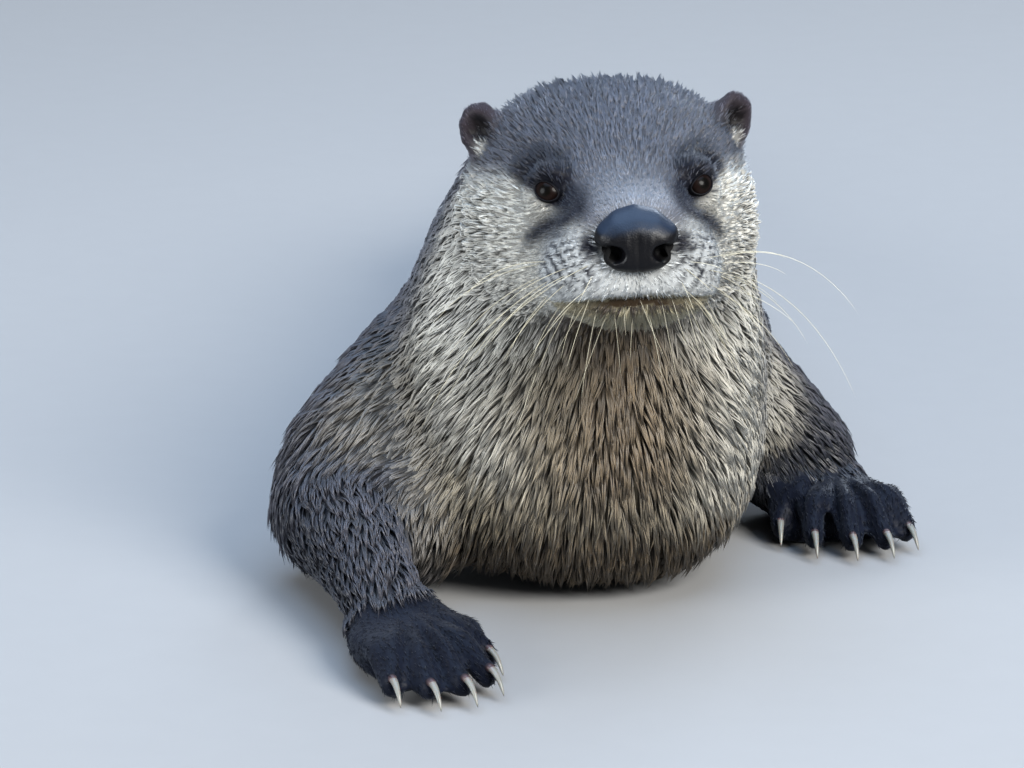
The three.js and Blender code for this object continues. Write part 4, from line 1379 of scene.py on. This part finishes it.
def nose_material(settings):
    """The nose pad's black leather: small pebbled cells, mottled, paler and bluer on top, a painted sheen of
    the sky, and painted black and dull shade in and beside the nostrils."""
    tree = Shading("nose leather")
    cells = tree.add("ShaderNodeTexVoronoi", {"Vector": tree.place, "Scale": 1500.0})["Distance"]
    mottle = tree.noise(260.0, 3.0)
    base = tree.mix(mottle, settings.nose, scale_by(1.8, settings.nose))
    # Painted sheen: the top is mixed towards a pale blue, the sky's reflection.
    base = tree.mix(tree.read("top"), base, settings.nose_top_sheen)
    # Painted shade: in and beside the nostrils the leather is painted black and dull.
    deep = tree.read("sunk")
    rough = tree.math("MULTIPLY_ADD", cells, 0.2, 0.22)
    rough = tree.math("MULTIPLY_ADD", mottle, 0.1, rough)
    return tree.finish({
        "Base Color": tree.mix(deep, base, (0.001, 0.001, 0.001)),
        "Roughness": tree.math("MAXIMUM", rough, deep),
        "Specular IOR Level": 0.17,
        "Normal": tree.bump(cells, LEATHER_GRAIN, 0.5, invert=True),
    })


def claw_material(settings):
    """Claw horn: dull pink at the quick and paler towards the point, with fine streaks."""
    tree = Shading("claw horn")
    along = tree.math("SUBTRACT", tree.read("along"), 0.1)
    streaks = tree.noise(900.0)
    share = tree.math("MULTIPLY_ADD", streaks, 0.3, along)
    return tree.finish({
        "Base Color": tree.ramp(share, (0.1, settings.quick), (0.45, settings.claw)),
        "Roughness": tree.math("MULTIPLY_ADD", streaks, 0.25, 0.2),
        "Subsurface Weight": 0.15,
        "Subsurface Scale": 0.002,
    })


def cuticle_material(settings, paints):
    """The bare skin round a claw's root: as dark as the paw behind and dull pink where it meets the claw."""
    tree = Shading("cuticle")
    near = tree.math("MULTIPLY_ADD", tree.read("along"), 4.0, -2.7, clamp=True)
    near = tree.math("MULTIPLY", near, tree.noise(900.0), clamp=True)
    return tree.finish({
        "Base Color": tree.mix(near, scale_by(0.8, paints.paw), settings.quick),
        "Roughness": 0.4,
        "Specular IOR Level": 0.3,
    })


def whisker_material(settings):
    """Whisker: cream, darker at the root."""
    tree = Shading("whisker")
    colour = tree.mix(tree.read("along"), scale_by(0.35, settings.whisker), settings.whisker)
    return tree.finish({"Base Color": colour, "Roughness": 0.3})


def floor_material(settings):
    """The floor's dull paint, faintly specked."""
    tree = Shading("floor")
    colour = tree.mix(tree.noise(60.0, 3.0), scale_by(0.96, settings.floor), settings.floor)
    return tree.finish({"Base Color": colour, "Roughness": 0.8})


# ---- Settings ---------------------------------------------------------------------------------------


def paint(label, red, green, blue):
    """A colour property with a default given as it looks on a screen."""
    return FloatVectorProperty(
        name=label.capitalize(),
        description=f"Colour of the {label}",
        subtype="COLOR",
        default=linear(red, green, blue),
        min=0,
        max=1,
    )


def against_normal(name, what, low, high):
    """A number property that is one for what is normal."""
    return FloatProperty(
        name=name,
        description=f"{what} against normal",
        subtype="FACTOR",
        default=1,
        min=low,
        max=high,
    )


class OtterPaints(bpy.types.PropertyGroup):
    """The colours of the markings, among them painted shade, light and sheen."""

    # The blue-grey of crown, back, limbs and paws is partly a painted sheen of the sky on dark wet fur.
    back: paint("crown and back", 91, 92, 100)
    limb: paint("arms, legs and tail", 64, 64, 72)
    chest: paint("chest and neck", 168, 159, 139)
    belly_and_shade: paint("belly_and_shade", 86, 72, 50)
    throat: paint("throat", 116, 100, 78)
    cheek: paint("cheeks", 217, 215, 206)
    muzzle: paint("muzzle", 208, 211, 211)
    bridge: paint("bridge of the nose", 144, 146, 152)
    mask: paint("patches at the eyes and beside the nose", 26, 27, 38)
    chin: paint("chin", 176, 168, 140)
    lips: paint("lips", 56, 44, 30)
    paw: paint("paws", 13, 17, 29)
    ear: paint("ears", 80, 71, 78)


class OtterCoat(bpy.types.PropertyGroup):
    """How the coat grows."""

    seed: IntProperty(name="Seed", description="Start of the coat's random numbers", default=7, min=0)
    cover: against_normal("Cover", "Number of locks", 0.1, 1.2)
    length: against_normal("Length", "Length of locks", 0.2, 1.5)
    wetness: FloatProperty(
        name="Wetness",
        description="Gloss of the water on the coat",
        subtype="FACTOR",
        default=0.8,
        min=0,
        max=1,
    )
    whiskers: against_normal("Whiskers", "Length of whiskers", 0, 2)


class OtterDetails(bpy.types.PropertyGroup):
    """The colours of eyes, nose, claws and whiskers."""

    iris: paint("iris", 18, 10, 8)
    nose: paint("nose pad", 4, 4, 6)
    # The sky's sheen, painted on the nose pad's top.
    nose_top_sheen: paint("nose pad's top", 25, 35, 50)
    claw: paint("claw's point", 106, 106, 100)
    quick: paint("claw's quick", 96, 72, 70)
    whisker: paint("whiskers", 226, 218, 190)


class OtterStage(bpy.types.PropertyGroup):
    """Floor and lights."""

    floor: paint("floor", 134, 134, 134)
    light: against_normal("Light", "Strength of all lights", 0, 4)


# ---- Operators --------------------------------------------------------------------------------------


class OTTER_OT_camera(bpy.types.Operator):
    """Place the camera low in front of the otter, looking at its throat."""

    bl_idname = "otter.camera"
    bl_label = "Camera"

    def execute(self, context):
        data = bpy.data.cameras.new("camera")
        data.lens = CAMERA_LENS
        data.sensor_width = SENSOR
        data.clip_start = 0.05
        camera = bpy.data.objects.new("camera", data)
        context.collection.objects.link(camera)
        back = Vector((0, -math.cos(CAMERA_ELEVATION), math.sin(CAMERA_ELEVATION)))
        camera.location = Vector(centre("nose") + CAMERA_TARGET_FROM_NOSE) + back * CAMERA_DISTANCE
        camera.rotation_euler = back.to_track_quat("Z", "Y").to_euler()
        context.scene.camera = camera
        return {"FINISHED"}


class OTTER_OT_skin(bpy.types.Operator):
    """Wrap one skin round all the flesh, with its folds and markings."""

    bl_idname = "otter.skin"
    bl_label = "Skin"

    def execute(self, context):
        net, share = skin()
        paints = context.scene.otter_paints
        colour = markings(net.points, net.normals(), share, paints)
        face = of_solid(share, "head") * step(-to_head(net.points)[:, 1], 45, 75)
        # The skin under the fur takes the dark of the coat's roots, painted shade under the fur; it is
        # lighter on the paws and the front of the face, where it shows.
        along = 0.15 + 0.45 * of_region(share, "paw") + 0.2 * face
        attributes = {"coat_colour": colour, "along": along, "tone": np.zeros(len(along))}
        piece = put_mesh("skin", net.points, net.quads, attributes)
        material = coat_material("furred skin", SKIN_GLOSS * context.scene.otter_coat.wetness, SKIN_GRAIN)
        finish_piece(piece, material, "back_fur", *FLESH)
        return {"FINISHED"}


class OTTER_OT_eyes(bpy.types.Operator):
    """Make the eyeballs and the rims of the lids."""

    bl_idname = "otter.eyes"
    bl_label = "Eyes and lids"

    def execute(self, context):
        build_eyes(context.scene.otter_details)
        build_lids(context.scene.otter_paints)
        return {"FINISHED"}


class OTTER_OT_nose(bpy.types.Operator):
    """Make the leathery nose pad."""

    bl_idname = "otter.nose"
    bl_label = "Nose"

    def execute(self, context):
        build_nose(context.scene.otter_details)
        return {"FINISHED"}


class OTTER_OT_claws(bpy.types.Operator):
    """Make the claws of the four paws."""

    bl_idname = "otter.claws"
    bl_label = "Claws"

    def execute(self, context):
        build_claws(context.scene.otter_details, context.scene.otter_paints)
        return {"FINISHED"}


class OTTER_OT_coat(bpy.types.Operator):
    """Grow the coat in pointed wet locks."""

    bl_idname = "otter.coat"
    bl_label = "Coat"

    def execute(self, context):
        build_coat(context.scene.otter_coat, context.scene.otter_paints)
        return {"FINISHED"}


class OTTER_OT_whiskers(bpy.types.Operator):
    """Set the whiskers."""

    bl_idname = "otter.whiskers"
    bl_label = "Whiskers"

    def execute(self, context):
        build_whiskers(context.scene.otter_coat, context.scene.otter_details)
        return {"FINISHED"}


class OTTER_OT_stage(bpy.types.Operator):
    """Set out a grey floor, a cool light overhead, soft lights in front and behind, and the sky."""

    bl_idname = "otter.stage"
    bl_label = "Stage"

    def execute(self, context):
        settings = context.scene.otter_stage
        corners = FLOOR_HALF * np.array([(-1, -1, 0), (1, -1, 0), (1, 1, 0), (-1, 1, 0)])
        floor = put_mesh("floor", corners, np.array([(0, 1, 2, 3)]))
        floor.data.materials.append(floor_material(settings))
        for name, at, size, power, tint in LIGHTS:
            data = bpy.data.lights.new(name, "AREA")
            data.shape = "DISK"
            data.size = size
            data.energy = power * settings.light
            data.color = tint
            lamp = bpy.data.objects.new(name, data)
            context.collection.objects.link(lamp)
            lamp.location = at
            lamp.rotation_euler = Vector(at).to_track_quat("Z", "Y").to_euler()
        world = bpy.data.worlds.new("sky")
        world.use_nodes = True
        sky = world.node_tree.nodes["Background"].inputs
        sky["Color"].default_value = (*SKY_TINT, 1)
        sky["Strength"].default_value = SKY_POWER * settings.light
        context.scene.world = world
        context.scene.view_settings.view_transform = "Standard"
        return {"FINISHED"}


class OTTER_PT_panel(bpy.types.Panel):
    """Lists the otter's pieces and their settings."""

    bl_label = "River otter"
    bl_idname = "OTTER_PT_panel"
    bl_space_type = "VIEW_3D"
    bl_region_type = "UI"
    bl_category = "Otter"

    def draw(self, context):
        for group in GROUPS:
            box = self.layout.box()
            for name in GROUPS[group].__annotations__:
                box.prop(getattr(context.scene, group), name)
        for operator in OPERATORS:
            self.layout.operator(operator.bl_idname)


GROUPS = {
    "otter_paints": OtterPaints,
    "otter_coat": OtterCoat,
    "otter_details": OtterDetails,
    "otter_stage": OtterStage,
}
OPERATORS = (
    OTTER_OT_camera,
    OTTER_OT_skin,
    OTTER_OT_eyes,
    OTTER_OT_nose,
    OTTER_OT_claws,
    OTTER_OT_coat,
    OTTER_OT_whiskers,
    OTTER_OT_stage,
)


def register():
    """Registers the settings, operators and panel, and gives every scene its settings."""
    for group, kind in GROUPS.items():
        bpy.utils.register_class(kind)
        setattr(bpy.types.Scene, group, PointerProperty(type=kind))
    for kind in (*OPERATORS, OTTER_PT_panel):
        bpy.utils.register_class(kind)


def unregister():
    """Takes all that register added away again."""
    for kind in reversed((*OPERATORS, OTTER_PT_panel)):
        bpy.utils.unregister_class(kind)
    for group, kind in GROUPS.items():
        delattr(bpy.types.Scene, group)
        bpy.utils.unregister_class(kind)


def main():
    """Registers the add-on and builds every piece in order."""
    register()
    for operator in OPERATORS:
        family, name = operator.bl_idname.split(".")
        getattr(getattr(bpy.ops, family), name)()


if __name__ == "__main__":
    main()
